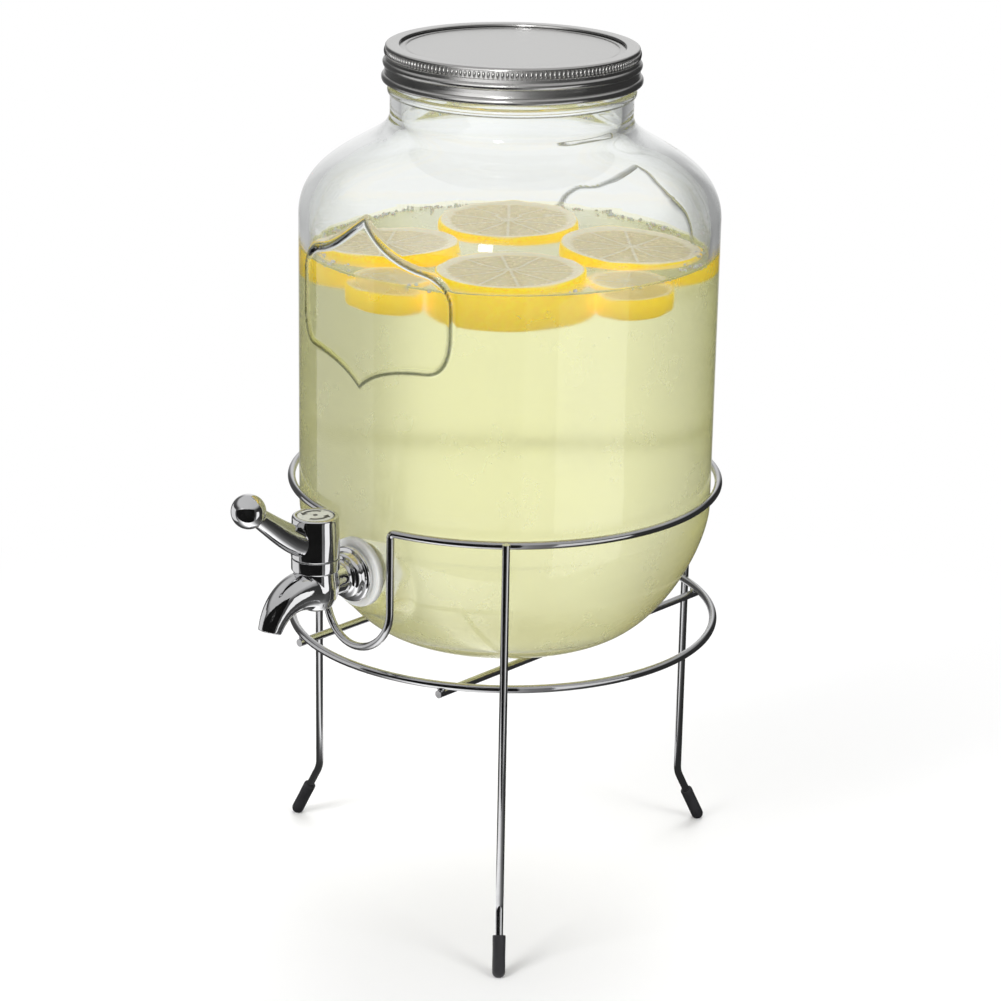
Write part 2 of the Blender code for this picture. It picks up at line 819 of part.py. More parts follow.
# Centre the footprint on the origin, with the feet on the ground
bpy.context.view_layer.update()
graph = bpy.context.evaluated_depsgraph_get()
low = Vector((1, 1, 1))
high = -low
for thing in bpy.data.objects:
    if thing.type != "MESH" or thing.hide_render:
        continue
    shown = thing.evaluated_get(graph)
    for corner in shown.bound_box:
        point = shown.matrix_world @ Vector(corner)
        low = Vector(map(min, low, point))
        high = Vector(map(max, high, point))
assembly.location = (-(low.x + high.x) / 2, -(low.y + high.y) / 2, -low.z)
bpy.context.view_layer.update()
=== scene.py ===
# %% [markdown]
# # A drinks dispenser on a wire stand
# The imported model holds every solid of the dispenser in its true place: a glass jar with a screw lid and a
# lever tap, standing in a chromed wire stand. This lesson dresses it. Each step makes one piece or one
# finish, and says what the real one is like and why it is made this way.

import math

import bmesh
import bpy
import numpy as np
from mathutils import Matrix, Vector


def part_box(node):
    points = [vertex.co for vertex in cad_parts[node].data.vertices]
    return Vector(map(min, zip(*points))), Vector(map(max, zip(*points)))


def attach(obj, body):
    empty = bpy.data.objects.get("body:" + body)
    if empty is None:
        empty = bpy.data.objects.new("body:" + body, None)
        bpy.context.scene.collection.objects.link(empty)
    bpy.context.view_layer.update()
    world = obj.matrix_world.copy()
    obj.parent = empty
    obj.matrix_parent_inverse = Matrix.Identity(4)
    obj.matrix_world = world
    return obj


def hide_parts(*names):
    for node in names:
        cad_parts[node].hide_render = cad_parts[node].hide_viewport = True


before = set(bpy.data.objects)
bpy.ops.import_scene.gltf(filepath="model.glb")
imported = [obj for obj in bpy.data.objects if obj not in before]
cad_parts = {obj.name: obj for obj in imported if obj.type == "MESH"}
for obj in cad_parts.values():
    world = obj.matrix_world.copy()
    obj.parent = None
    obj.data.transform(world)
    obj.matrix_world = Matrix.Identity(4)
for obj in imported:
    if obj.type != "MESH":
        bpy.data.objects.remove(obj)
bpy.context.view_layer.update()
scene = bpy.context.scene

# %% [markdown]
# ## Shared sizes
# The jar, the lid and the rings share one upright axis. The lid's disc is round, so the middle of its box
# gives that axis, and a few other boxes give the heights. The rest repeats the sizes that the solids were
# made with, in metres. Heights on the jar start at its base, and all other heights at the floor.

# %% Axis and heights
lid_low, lid_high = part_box("lid_disc")
AXIS = Vector(((lid_low[0] + lid_high[0]) / 2, (lid_low[1] + lid_high[1]) / 2, 0))
JAR_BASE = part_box("glass_jar")[0][2]
JAR_RADIUS = 0.090
WALL = 0.0048
INNER_RADIUS = JAR_RADIUS - WALL
HEEL = 0.054  # top of the jar's round heel
BODY = 0.182  # foot of its shoulder
FILL = 0.1685  # level of the drink
WIRE = 0.0034  # diameter
GAP = 0.0003  # left between solids that lie against each other
RING_RADIUS = 0.0933
LOWER_RING = 0.125
UPPER_RING = 0.1885
TAP_HEIGHT = 0.167
TAP_FACE = 0.091  # from the axis to the flat that carries the tap
VALVE = TAP_FACE + 0.0252  # from the axis to the tap's own upright axis
VIEW_AZIMUTH = 41.9
FRONT_LEG = 42.5
print("axis:", tuple(round(c, 4) for c in AXIS), "jar base:", round(JAR_BASE, 4))


def around(radius, azimuth, height=0.0):
    """A point round the jar's axis. Azimuths run from the tap, at 0, towards +X."""
    a = math.radians(azimuth)
    return Vector((AXIS.x + radius * math.sin(a), AXIS.y - radius * math.cos(a), height))


# %% [markdown]
# ## Camera
# The picture was taken with a long lens from a little above the lid. A camera fitted to the two rings, the
# lid and the feet gave its distance, height and lens, and the slight lean of the picture.

# %% Camera
SENSOR = 36
IMAGE_SIDE = 1001


def add_camera(azimuth, distance, height, pitch, turn, lean, focal_pixels):
    eye = around(distance, azimuth, height)
    a = math.radians(azimuth) + turn
    ahead = Vector((-math.sin(a) * math.cos(pitch), math.cos(a) * math.cos(pitch), -math.sin(pitch)))
    right = Vector((math.cos(a), math.sin(a), 0))
    up = right.cross(ahead)
    tilted_right = right * math.cos(lean) + up * math.sin(lean)
    tilted_up = up * math.cos(lean) - right * math.sin(lean)
    camera = bpy.data.objects.new("camera", bpy.data.cameras.new("camera"))
    columns = (tilted_right, tilted_up, -ahead, eye)
    camera.matrix_world = Matrix([[column[i] for column in columns] for i in range(3)] + [[0, 0, 0, 1]])
    camera.data.sensor_width = SENSOR
    camera.data.lens = focal_pixels * SENSOR / IMAGE_SIDE
    camera.data.clip_start = 0.01
    camera.data.clip_end = 50
    scene.collection.objects.link(camera)
    scene.camera = camera
    return camera


camera = add_camera(
    VIEW_AZIMUTH,
    distance=1.2899,
    height=LOWER_RING + 0.4929,
    pitch=0.330,
    turn=0.0014,
    lean=0.018,
    focal_pixels=3103,
)
print("lens:", round(camera.data.lens, 1), "mm")

# %% [markdown]
# ## Node helpers
# Materials are small node graphs. With these helpers a node is added in one line, and each of its inputs gets
# a plain value or a link to another node, so that each material below reads as a short list of steps.

# %% Node helpers
BLACK, WHITE = (0, 0, 0), (1, 1, 1)


def set_inputs(tree, node, values):
    """Sets each named input of a node, or links it where the value is another node's output."""
    for name, value in values.items():
        if isinstance(value, bpy.types.NodeSocket):
            tree.links.new(value, node.inputs[name])
        else:
            node.inputs[name].default_value = value


def add_node(tree, kind, values=None, **settings):
    node = tree.nodes.new(kind)
    for name, value in settings.items():
        setattr(node, name, value)
    set_inputs(tree, node, values or {})
    return node


def blank_material(name, values):
    """A new material, its nodes, and its shader with the values that are the same all over."""
    material = bpy.data.materials.new(name)
    material.use_nodes = True
    tree = material.node_tree
    shader = tree.nodes["Principled BSDF"]
    set_inputs(tree, shader, values)
    return material, tree, shader


# %% Colour and noise helpers
def colour_ramp(tree, value, stops):
    """The colour of a value on a ramp with stops of position and colour."""
    node = add_node(tree, "ShaderNodeValToRGB", {"Fac": value})
    ramp = node.color_ramp
    while len(ramp.elements) < len(stops):
        ramp.elements.new(0.5)
    for element, (position, colour) in zip(ramp.elements, stops):
        element.position = position
        element.color = (*colour, 1)
    return node.outputs["Color"]


def noise(tree, scale, detail, roughness=0.5, vector=None):
    """A noise on the object's own coordinates, or on another vector."""
    if vector is None:
        vector = tree.nodes.new("ShaderNodeTexCoord").outputs["Object"]
    values = {"Vector": vector, "Scale": scale, "Detail": detail, "Roughness": roughness}
    return add_node(tree, "ShaderNodeTexNoise", values)


def ranged(tree, value, low, high, start=0.3, end=0.7, **settings):
    """Stretches the values from start to end, by default the middle of a noise, to run from low to high."""
    values = {"Value": value, "From Min": start, "From Max": end, "To Min": low, "To Max": high}
    return add_node(tree, "ShaderNodeMapRange", values, **settings).outputs["Result"]


# %% Maths and mixing helpers
def maths(tree, operation, *inputs):
    return add_node(tree, "ShaderNodeMath", dict(enumerate(inputs)), operation=operation).outputs[0]


def vector_maths(tree, operation, *inputs):
    node = add_node(tree, "ShaderNodeVectorMath", dict(enumerate(inputs)), operation=operation)
    return node.outputs["Value" if operation in ("LENGTH", "DOT_PRODUCT") else "Vector"]


def flattened(tree, vector):
    return vector_maths(tree, "MULTIPLY", vector, (1, 1, 0))


def mix_colours(tree, share, first, second, blend="MIX"):
    values = {0: share, 6: first, 7: second}
    return add_node(tree, "ShaderNodeMix", values, data_type="RGBA", blend_type=blend).outputs[2]


def bump(tree, shader, height, strength, depth):
    lift = add_node(tree, "ShaderNodeBump", {"Height": height, "Strength": strength, "Distance": depth})
    set_inputs(tree, shader, {"Normal": lift.outputs["Normal"]})


def darker(colour, share):
    return tuple(share * c for c in colour)


# %% [markdown]
# ## Handled finish, a shared group
# Nothing that people wash and carry stays evenly shiny. Water marks, fine scratches and fingerprints make the
# gloss vary. One node group gives that variation as a roughness and as a height for a bump, and each material
# places it with its own values.

# %% Handled finish group
def make_handled_finish():
    group = bpy.data.node_groups.new("handled_finish", "ShaderNodeTree")
    for name, default in (("Scale", 90.0), ("Lowest", 0.05), ("Highest", 0.12)):
        socket = group.interface.new_socket(name, in_out="INPUT", socket_type="NodeSocketFloat")
        socket.default_value = default
    for name in ("Roughness", "Height"):
        group.interface.new_socket(name, in_out="OUTPUT", socket_type="NodeSocketFloat")
    given = group.nodes.new("NodeGroupInput").outputs
    broad = noise(group, given["Scale"], 4.0, 0.6).outputs["Fac"]
    fine = noise(group, 1400.0, 2.0).outputs["Fac"]
    roughness = ranged(group, broad, given["Lowest"], given["Highest"])
    height = maths(group, "MULTIPLY_ADD", fine, 0.35, broad)
    add_node(group, "NodeGroupOutput", {"Roughness": roughness, "Height": height})
    return group


HANDLED = make_handled_finish()
print("group:", HANDLED.name)


def handled(tree, shader, scale, lowest, highest):
    """Gives a shader the group's roughness, and puts out its height."""
    values = {"Scale": scale, "Lowest": lowest, "Highest": highest}
    marks = add_node(tree, "ShaderNodeGroup", values, node_tree=HANDLED)
    set_inputs(tree, shader, {"Roughness": marks.outputs["Roughness"]})
    return marks.outputs["Height"]


# %% [markdown]
# ## Metal finishes
# The wire and the tap are bright chrome, with only faint marks. The lid is satin tinplate, spun so that fine
# rings run round its middle: a noise that changes with the distance from the axis alone gives those rings.

# %% Chrome and tinplate
def chrome(name, colour, lowest, highest):
    material, tree, shader = blank_material(name, {"Metallic": 1.0})
    handled(tree, shader, 70.0, lowest, highest)
    tarnish = noise(tree, 55.0, 5.0).outputs["Fac"]
    tone = colour_ramp(tree, tarnish, ((0.3, darker(colour, 0.86)), (0.6, colour)))
    set_inputs(tree, shader, {"Base Color": tone})
    return material


def satin_tinplate(name, colour, lowest, highest):
    material, tree, shader = blank_material(name, {"Metallic": 1.0})
    place = tree.nodes.new("ShaderNodeTexCoord").outputs["Object"]
    values = {"Vector": place, "Location": (-AXIS.x, -AXIS.y, 0)}
    centred = add_node(tree, "ShaderNodeMapping", values).outputs["Vector"]
    distance = vector_maths(tree, "LENGTH", flattened(tree, centred))
    height = add_node(tree, "ShaderNodeSeparateXYZ", {"Vector": centred}).outputs["Z"]
    values = {"W": maths(tree, "ADD", distance, height), "Scale": 2600.0, "Detail": 3.0}
    rings = add_node(tree, "ShaderNodeTexNoise", values, noise_dimensions="1D").outputs["Fac"]
    tone = colour_ramp(tree, rings, ((0.35, darker(colour, 0.90)), (0.65, colour)))
    set_inputs(tree, shader, {"Base Color": tone, "Roughness": ranged(tree, rings, lowest, highest)})
    bump(tree, shader, rings, 0.10, 0.00005)
    return material


CHROMED_WIRE = chrome("chromed_wire", (0.56, 0.56, 0.57), 0.06, 0.13)
PLATED_TAP = chrome("plated_tap", (0.80, 0.80, 0.81), 0.03, 0.07)
SCREW_STEEL = chrome("screw_steel", (0.60, 0.60, 0.60), 0.20, 0.32)
TINPLATE = satin_tinplate("satin_tinplate", (0.56, 0.555, 0.545), 0.18, 0.26)
print("metals:", CHROMED_WIRE.name, PLATED_TAP.name, SCREW_STEEL.name, TINPLATE.name)

# %% [markdown]
# ## Rubber, silicone and nylon
# Soft black tips, milky white washers and a white nut are matt mouldings. A little colour change and a fine
# bump keep them from looking painted. The nut sits deep in the cloudy drink, where light is scattered on to
# it from all sides. That would take many samples, so the nylon gives off a little light of its own instead.

# %% Moulded finishes
def moulded(name, colour, shade, lowest, highest, strength, soft=0.0, glow=0.0):
    material, tree, shader = blank_material(name, {})
    height = handled(tree, shader, 160.0, lowest, highest)
    bump(tree, shader, height, strength, 0.0002)
    tone = colour_ramp(tree, height, ((0.35, shade), (0.85, colour)))
    set_inputs(tree, shader, {"Base Color": tone})
    if soft:
        values = {"Subsurface Weight": soft, "Subsurface Radius": (1.0, 0.9, 0.8), "Subsurface Scale": 0.003}
        set_inputs(tree, shader, values)
    if glow:
        set_inputs(tree, shader, {"Emission Color": tone, "Emission Strength": glow})
    return material


RUBBER = moulded("black_rubber", (0.022, 0.022, 0.025), (0.010, 0.010, 0.012), 0.42, 0.62, 0.25)
SILICONE = moulded("white_silicone", (0.84, 0.84, 0.81), (0.74, 0.75, 0.71), 0.38, 0.52, 0.10, soft=0.4)
NYLON = moulded("white_nylon", (0.80, 0.81, 0.77), (0.72, 0.73, 0.69), 0.35, 0.50, 0.10, soft=0.2, glow=0.55)
DIAL = moulded("pale_dial", (0.70, 0.71, 0.64), (0.58, 0.59, 0.53), 0.22, 0.34, 0.06)
INK = moulded("dial_ink", (0.05, 0.05, 0.045), (0.03, 0.03, 0.03), 0.35, 0.50, 0.05)
print("mouldings:", RUBBER.name, SILICONE.name, NYLON.name, DIAL.name, INK.name)

# %% [markdown]
# ## Glass and drink
# The jar is thick moulded glass, so its walls bend the light and wave a little. The bends in the bead of its
# label frame show only faintly at this size, so the glass is painted darker along the bead: painted shade
# that stands for the dark edges those bends give. The drink fills the jar and meets it with no air between:
# its skin reaches a hair into the glass, which bends each ray as the real pair does. The drink is cloudy, so
# its skin scatters what passes through, a yellow absorption deepens with the way through it, and a faint
# light of its own stands for what it scatters inside.

# %% Glass and drink
def clear_glass(name):
    material, tree, shader = blank_material(name, {"Roughness": 0.0, "IOR": 1.5, "Transmission Weight": 1.0})
    bead = add_node(tree, "ShaderNodeAttribute", attribute_name="frame_bead").outputs["Fac"]
    # Painted shade: the glass is darker along the label frame's bead, for the dark edges its bends give
    painted_bead_shade = colour_ramp(tree, bead, ((0.36, (0.975, 0.99, 0.985)), (0.74, (0.07, 0.08, 0.07))))
    set_inputs(tree, shader, {"Base Color": painted_bead_shade})
    bump(tree, shader, noise(tree, 26.0, 2.0).outputs["Fac"], 0.12, 0.002)
    return material


def cloudy_drink(name):
    values = {
        "IOR": 1.33,
        "Transmission Weight": 1.0,
        "Emission Color": (0.92, 0.92, 0.45, 1),
        "Emission Strength": 0.05,
    }
    material, tree, shader = blank_material(name, values)
    pulp = noise(tree, 38.0, 5.0, 0.62).outputs["Fac"]
    tone = colour_ramp(tree, pulp, ((0.3, (0.965, 0.945, 0.815)), (0.7, (0.985, 0.965, 0.87))))
    set_inputs(tree, shader, {"Base Color": tone, "Roughness": ranged(tree, pulp, 0.22, 0.30)})
    absorb = add_node(tree, "ShaderNodeVolumeAbsorption", {"Color": (0.885, 0.875, 0.40, 1), "Density": 5.2})
    set_inputs(tree, tree.nodes["Material Output"], {"Volume": absorb.outputs["Volume"]})
    return material


GLASS = clear_glass("clear_glass")
DRINK = cloudy_drink("cloudy_lemonade")
print("clear pieces:", GLASS.name, DRINK.name)

# %% [markdown]
# ## Lemon
# A cut lemon shows a thin yellow rind, white pith, and wedges of wet pulp between pale skins. Each slice
# stores its own place on every point, measured from its middle in slice radii, so that one material can draw
# the wedges on all of them. Like the nut, the slices give off a little light in place of what the drink
# scatters on to them. It falls off towards the underside of the rind, as the real light does.

# %% Lemon
def lemon(name, wedges=10):
    values = {
        "Emission Strength": 0.42,
        "Specular IOR Level": 0.15,
        "Subsurface Weight": 0.25,
        "Subsurface Radius": (1.0, 0.8, 0.3),
        "Subsurface Scale": 0.004,
    }
    material, tree, shader = blank_material(name, values)
    place = add_node(tree, "ShaderNodeAttribute", attribute_name="slice_place").outputs["Vector"]
    parts = add_node(tree, "ShaderNodeSeparateXYZ", {"Vector": place}).outputs
    radius = vector_maths(tree, "LENGTH", flattened(tree, place))

    # The cut face: pale skins between the wedges, pulp cells, and pith round them
    turn = maths(tree, "ARCTAN2", parts["Y"], parts["X"])
    fold = maths(tree, "PINGPONG", maths(tree, "MULTIPLY", turn, wedges / math.tau), 0.5)
    skin_stops = ((0.012, (0.90, 0.87, 0.70)), (0.05, (0.74, 0.66, 0.36)), (0.2, (0.82, 0.75, 0.46)))
    skins = colour_ramp(tree, maths(tree, "MULTIPLY", fold, radius), skin_stops)
    cells = noise(tree, 14.0, 6.0, 0.65, place).outputs
    pulp = mix_colours(tree, 0.35, skins, cells["Color"], "OVERLAY")
    dull = add_node(tree, "ShaderNodeHueSaturation", {"Color": pulp, "Saturation": 0.95, "Value": 0.92})
    pith_share = colour_ramp(tree, radius, ((0.80, BLACK), (0.86, WHITE)))
    face = mix_colours(tree, pith_share, dull.outputs["Color"], (0.94, 0.91, 0.74, 1))

    # The rind, with pores
    rind_share = colour_ramp(tree, radius, ((0.955, BLACK), (0.985, WHITE)))
    pores = add_node(tree, "ShaderNodeTexVoronoi", {"Vector": place, "Scale": 34.0}).outputs["Distance"]
    peel_stops = ((0.05, (0.86, 0.46, 0.004)), (0.35, (0.96, 0.64, 0.008)), (0.6, (0.98, 0.72, 0.012)))
    peel = colour_ramp(tree, pores, peel_stops)

    # The light that each of them gives off
    face_glow = mix_colours(tree, 1.0, face, (0.68, 0.58, 0.39, 1), "MULTIPLY")
    depth = ranged(tree, parts["Z"], 0.62, 1.15, start=-0.62, end=-0.10)
    peel_glow = mix_colours(tree, 1.0, peel, depth, "MULTIPLY")
    looks = {
        "Base Color": mix_colours(tree, rind_share, face, peel),
        "Emission Color": mix_colours(tree, rind_share, face_glow, peel_glow),
        "Roughness": ranged(tree, cells["Fac"], 0.14, 0.34),
    }
    set_inputs(tree, shader, looks)
    bump(tree, shader, cells["Fac"], 0.35, 0.0008)
    return material


LEMON = lemon("lemon_slice")
print("fruit:", LEMON.name)

# %% [markdown]
# ## Mesh helpers
# Most of this object is turned on an axis. A profile of radius and height, swung round in steps, makes such a
# piece. The steps can be uneven, to spend points where a surface has detail.

# %% Piece helpers
def placed(name, data, body=None, replaced=()):
    """Puts a mesh or a lamp into the scene, on its body and in place of the solids that it replaces."""
    piece = bpy.data.objects.new(name, data)
    scene.collection.objects.link(piece)
    if body:
        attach(piece, body)
    if replaced:
        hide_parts(*replaced)
    return piece


def plain_mesh(name, points, faces, material=None):
    mesh = bpy.data.meshes.new(name)
    mesh.from_pydata([tuple(p) for p in points], [], faces)
    if material:
        mesh.materials.append(material)
    return mesh


def outward(mesh):
    """Makes a closed mesh's faces point out."""
    bm = bmesh.new()
    bm.from_mesh(mesh)
    bmesh.ops.recalc_face_normals(bm, faces=bm.faces)
    bm.to_mesh(mesh)
    bm.free()


def add_piece(name, points, faces, material, body, replaced, sharp):
    """A smooth piece, crisp at edges that turn by more than sharp degrees."""
    mesh = plain_mesh(name, points, faces, material)
    mesh.shade_smooth()
    mesh.set_sharp_from_angle(angle=math.radians(sharp))
    mesh.validate()
    outward(mesh)
    return placed(name, mesh, body, replaced)


# %% Grid helper
def stitch(points, closed):
    """Points and faces of a grid that is wrapped round. Rows on the axis become one point."""
    rows, columns = points.shape[:2]
    index = np.arange(rows * columns).reshape(rows, columns)
    for row in range(rows):
        if np.ptp(points[row, :, 0]) < 1e-9 and np.ptp(points[row, :, 1]) < 1e-9:
            index[row] = index[row, 0]
    faces = []
    last = rows if closed else rows - 1
    for row in range(last):
        a = index[row]
        b = index[(row + 1) % rows]
        for i in range(columns):
            j = (i + 1) % columns
            corners = list(dict.fromkeys((int(a[i]), int(a[j]), int(b[j]), int(b[i]))))
            if len(corners) > 2:
                faces.append(corners)
    used = sorted({i for face in faces for i in face})
    where = {old: new for new, old in enumerate(used)}
    return points.reshape(-1, points.shape[-1])[used], [[where[i] for i in face] for face in faces]


# %% Turned pieces
def full_turn(steps):
    return np.linspace(0, math.tau, steps, endpoint=False)


def swing(profile, turns):
    """A grid of points: each point (radius, height) of a profile, swung about Z to each of the turns."""
    profile = np.asarray(profile, float)
    points = np.empty((len(profile), len(turns), 3))
    points[:, :, 0] = profile[:, :1] * np.sin(turns)
    points[:, :, 1] = -profile[:, :1] * np.cos(turns)
    points[:, :, 2] = profile[:, 1:2]
    return points


def turned(name, profile, steps, material, body, replaced, sharp, move):
    """A piece turned from a closed profile, or from one that starts and ends on the axis."""
    closed = not (profile[0][0] == 0 and profile[-1][0] == 0)
    points, faces = stitch(swing(profile, full_turn(steps)), closed)
    return add_piece(name, [move @ Vector(p) for p in points], faces, material, body, replaced, sharp)


def bezier(points, count):
    """A cubic curve, at a count of even steps or at given steps from 0 to 1."""
    t = np.linspace(0, 1, count + 1) if isinstance(count, int) else np.asarray(count)
    t = t[:, None]
    p = np.asarray(points, float)
    return (1 - t) ** 3 * p[0] + 3 * t * (1 - t) ** 2 * p[1] + 3 * t * t * (1 - t) * p[2] + t ** 3 * p[3]


def pairs(rows):
    return [tuple(row) for row in rows]


def round_corner(start, corner, end, count=4):
    """A rounded corner of a profile: a quadratic curve from start to end, drawn towards corner."""
    t = np.linspace(0, 1, count + 1)[:, None]
    a, b, c = (np.asarray(p, float) for p in (start, corner, end))
    return pairs((1 - t) ** 2 * a + 2 * t * (1 - t) * b + t * t * c)


def outline(*parts, base=0.0):
    """A profile of points and rounded corners (start, corner, end, steps), with heights from base up."""
    points = []
    for part in parts:
        points += round_corner(*part) if isinstance(part[0], tuple) else [part]
    return [(radius, base + height) for radius, height in points]


ON_AXIS = Matrix.Translation(AXIS)
TO_FRONT = Matrix(((1, 0, 0, 0), (0, 0, -1, 0), (0, 1, 0, 0), (0, 0, 0, 1)))  # turns +Z to -Y
ON_TAP = Matrix.Translation((AXIS.x, AXIS.y, TAP_HEIGHT)) @ TO_FRONT
ON_VALVE = Matrix.Translation((AXIS.x, AXIS.y - VALVE, TAP_HEIGHT))

# %% [markdown]
# ## Wire stand
# The stand is one gauge of chromed wire, bent and spot-welded. A small Geometry Nodes tree turns any path of
# points into wire: it reads the path as a curve and sweeps a circle along it. The upper ring dips in a loop
# that lets the tap through.

# %% Tree helpers
def start_tree(name, inputs):
    """A Geometry Nodes tree with named inputs, and those inputs as outputs of its first node."""
    tree = bpy.data.node_groups.new(name, "GeometryNodeTree")
    for socket, kind in {"Geometry": "Geometry", **inputs, "Finish": "Material"}.items():
        tree.interface.new_socket(socket, in_out="INPUT", socket_type="NodeSocket" + kind)
    tree.interface.new_socket("Geometry", in_out="OUTPUT", socket_type="NodeSocketGeometry")
    return tree, tree.nodes.new("NodeGroupInput").outputs


def end_tree(tree, geometry, finish):
    """Closes a tree: instances become a real mesh, which is shaded smooth and gets its finish."""
    real = add_node(tree, "GeometryNodeRealizeInstances", {"Geometry": geometry}).outputs["Geometry"]
    smooth = add_node(tree, "GeometryNodeSetShadeSmooth", {"Geometry": real}).outputs["Geometry"]
    values = {"Geometry": smooth, "Material": finish}
    coated = add_node(tree, "GeometryNodeSetMaterial", values).outputs["Geometry"]
    add_node(tree, "NodeGroupOutput", {"Geometry": coated})
    return tree


def socket_id(tree, name):
    for item in tree.interface.items_tree:
        if item.item_type == "SOCKET" and item.in_out == "INPUT" and item.name == name:
            return item.identifier


def evaluated_mesh(piece):
    """A plain mesh of what an object's modifiers make."""
    bpy.context.view_layer.update()
    return bpy.data.meshes.new_from_object(piece.evaluated_get(bpy.context.evaluated_depsgraph_get()))


def baked(name, points, edges, tree, values, body, replaced=(), sharp=50):
    """Runs a Geometry Nodes tree on a path or on points, and keeps its result as a plain piece."""
    mesh = bpy.data.meshes.new(name + "_path")
    mesh.from_pydata([tuple(p) for p in points], edges, [])
    guide = placed(name + "_path", mesh)
    modifier = guide.modifiers.new("nodes", "NODES")
    modifier.node_group = tree
    for key, value in values.items():
        modifier[socket_id(tree, key)] = value
    made = evaluated_mesh(guide)
    guide.modifiers.remove(modifier)
    bpy.data.objects.remove(guide)
    made.name = name
    made.set_sharp_from_angle(angle=math.radians(sharp))
    outward(made)
    return placed(name, made, body, replaced)


# %% Wire tree
def make_wire_tree():
    tree, given = start_tree("wire_on_path", {"Radius": "Float", "Sides": "Int"})
    path = add_node(tree, "GeometryNodeMeshToCurve", {"Mesh": given["Geometry"]}).outputs["Curve"]
    values = {"Radius": given["Radius"], "Resolution": given["Sides"]}
    section = add_node(tree, "GeometryNodeCurvePrimitiveCircle", values).outputs["Curve"]
    values = {"Curve": path, "Profile Curve": section, "Fill Caps": True}
    swept = add_node(tree, "GeometryNodeCurveToMesh", values).outputs["Mesh"]
    return end_tree(tree, swept, given["Finish"])


WIRE_TREE = make_wire_tree()
print("tree:", WIRE_TREE.name)


def wire(name, path, closed, node):
    edges = [(i, i + 1) for i in range(len(path) - 1)]
    if closed:
        edges.append((len(path) - 1, 0))
    values = {"Radius": WIRE / 2, "Sides": 20, "Finish": CHROMED_WIRE}
    return baked(name, path, edges, WIRE_TREE, values, "stand", (node,))


# %% Rings
RING_STEPS = 200


def looped_ring(half_width=0.0190, depth=0.0545, bend=0.0022):
    """The upper ring, laid out flat as (way round, height): round the back, then down and up at the tap."""
    girth = math.tau * RING_RADIUS
    start = half_width + bend
    top = UPPER_RING - bend
    foot = UPPER_RING - depth + half_width
    quarter = np.linspace(0, math.pi / 2, 8)
    sides = np.linspace(top, foot, 6)[1:-1]
    track = [(s, UPPER_RING) for s in np.linspace(start, girth - start, 180)]
    track += [(girth - start + bend * math.sin(a), top + bend * math.cos(a)) for a in quarter[1:]]
    track += [(girth - half_width, z) for z in sides]
    for a in np.linspace(0, math.pi, 28):
        track.append((girth - half_width * math.cos(a), foot - half_width * math.sin(a)))
    track += [(girth + half_width, z) for z in sides[::-1]]
    track += [(girth + start - bend * math.cos(a), top + bend * math.sin(a)) for a in quarter[:-1]]
    return [around(RING_RADIUS, math.degrees(s / RING_RADIUS), z) for s, z in track]


lower_ring = [around(RING_RADIUS, 360 * i / RING_STEPS, LOWER_RING) for i in range(RING_STEPS)]
wire("upper_ring_wire", looped_ring(), True, "upper_ring")
wire("lower_ring_wire", lower_ring, True, "lower_ring")
print("rings: 2, radius", RING_RADIUS)

# %% Bars and legs
BAR_OFFSET = 0.0415
BAR_HEIGHT = LOWER_RING - WIRE - GAP
BAR_MEETS = math.sqrt(RING_RADIUS ** 2 - BAR_OFFSET ** 2)
BAR_HALF = BAR_MEETS + 0.002
for word, side in (("right", 1), ("left", -1)):
    x = AXIS.x + side * BAR_OFFSET
    path = [Vector((x, AXIS.y + y, BAR_HEIGHT)) for y in np.linspace(-BAR_HALF, BAR_HALF, 6)]
    wire(f"bar_{word}_wire", path, False, f"base_bar_{word}")

SPLAY = math.radians(26.7)
LEG_RADIUS = RING_RADIUS + WIRE + GAP
CAP_RADIUS = WIRE / 2 + GAP + 0.0008
FOOT_CENTRE = CAP_RADIUS - 0.0005


def leg_track(bend_height=0.0266, bend=0.012):
    """A leg as (radius, height), and the radius at which its tip stands."""
    start = bend_height + bend * math.tan(SPLAY / 2)
    track = [(LEG_RADIUS, z) for z in np.linspace(UPPER_RING + WIRE / 2, start, 8)[:-1]]
    for a in np.linspace(0, SPLAY, 12):
        track.append((LEG_RADIUS + bend * (1 - math.cos(a)), start - bend * math.sin(a)))
    tip = track[-1][0] + (track[-1][1] - FOOT_CENTRE) * math.tan(SPLAY)
    track.append((tip - GAP * math.tan(SPLAY), FOOT_CENTRE + GAP))
    return track, tip


LEG_TRACK, LEG_TIP = leg_track()
LEGS = (("front", FRONT_LEG), ("rear", FRONT_LEG + 120), ("side", FRONT_LEG - 120))
for word, azimuth in LEGS:
    wire(f"leg_{word}_wire", [around(r, azimuth, z) for r, z in LEG_TRACK], False, f"leg_{word}")
print("bars: 2, legs:", len(LEGS), "tip radius", round(LEG_TIP, 4))

# %% [markdown]
# ## Welds
# Where two wires meet, the spot weld leaves a small smooth bead of metal under the plating. One tree sets a
# bead on each meeting point, so that the wires read as joined and not as crossing.

# %% Welds
def make_bead_tree():
    inputs = {"Radius": "Float", "Least Size": "Float", "Detail": "Int", "Seed": "Int"}
    tree, given = start_tree("beads_on_points", inputs)
    dots = add_node(tree, "GeometryNodeMeshToPoints", {"Mesh": given["Geometry"]}).outputs["Points"]
    values = {"Radius": given["Radius"], "Subdivisions": given["Detail"]}
    bead = add_node(tree, "GeometryNodeMeshIcoSphere", values).outputs["Mesh"]
    values = {2: given["Least Size"], 3: 1.0, "Seed": given["Seed"]}
    size = add_node(tree, "FunctionNodeRandomValue", values, data_type="FLOAT").outputs[1]
    values = {"Points": dots, "Instance": bead, "Scale": size}
    copies = add_node(tree, "GeometryNodeInstanceOnPoints", values).outputs["Instances"]
    return end_tree(tree, copies, given["Finish"])


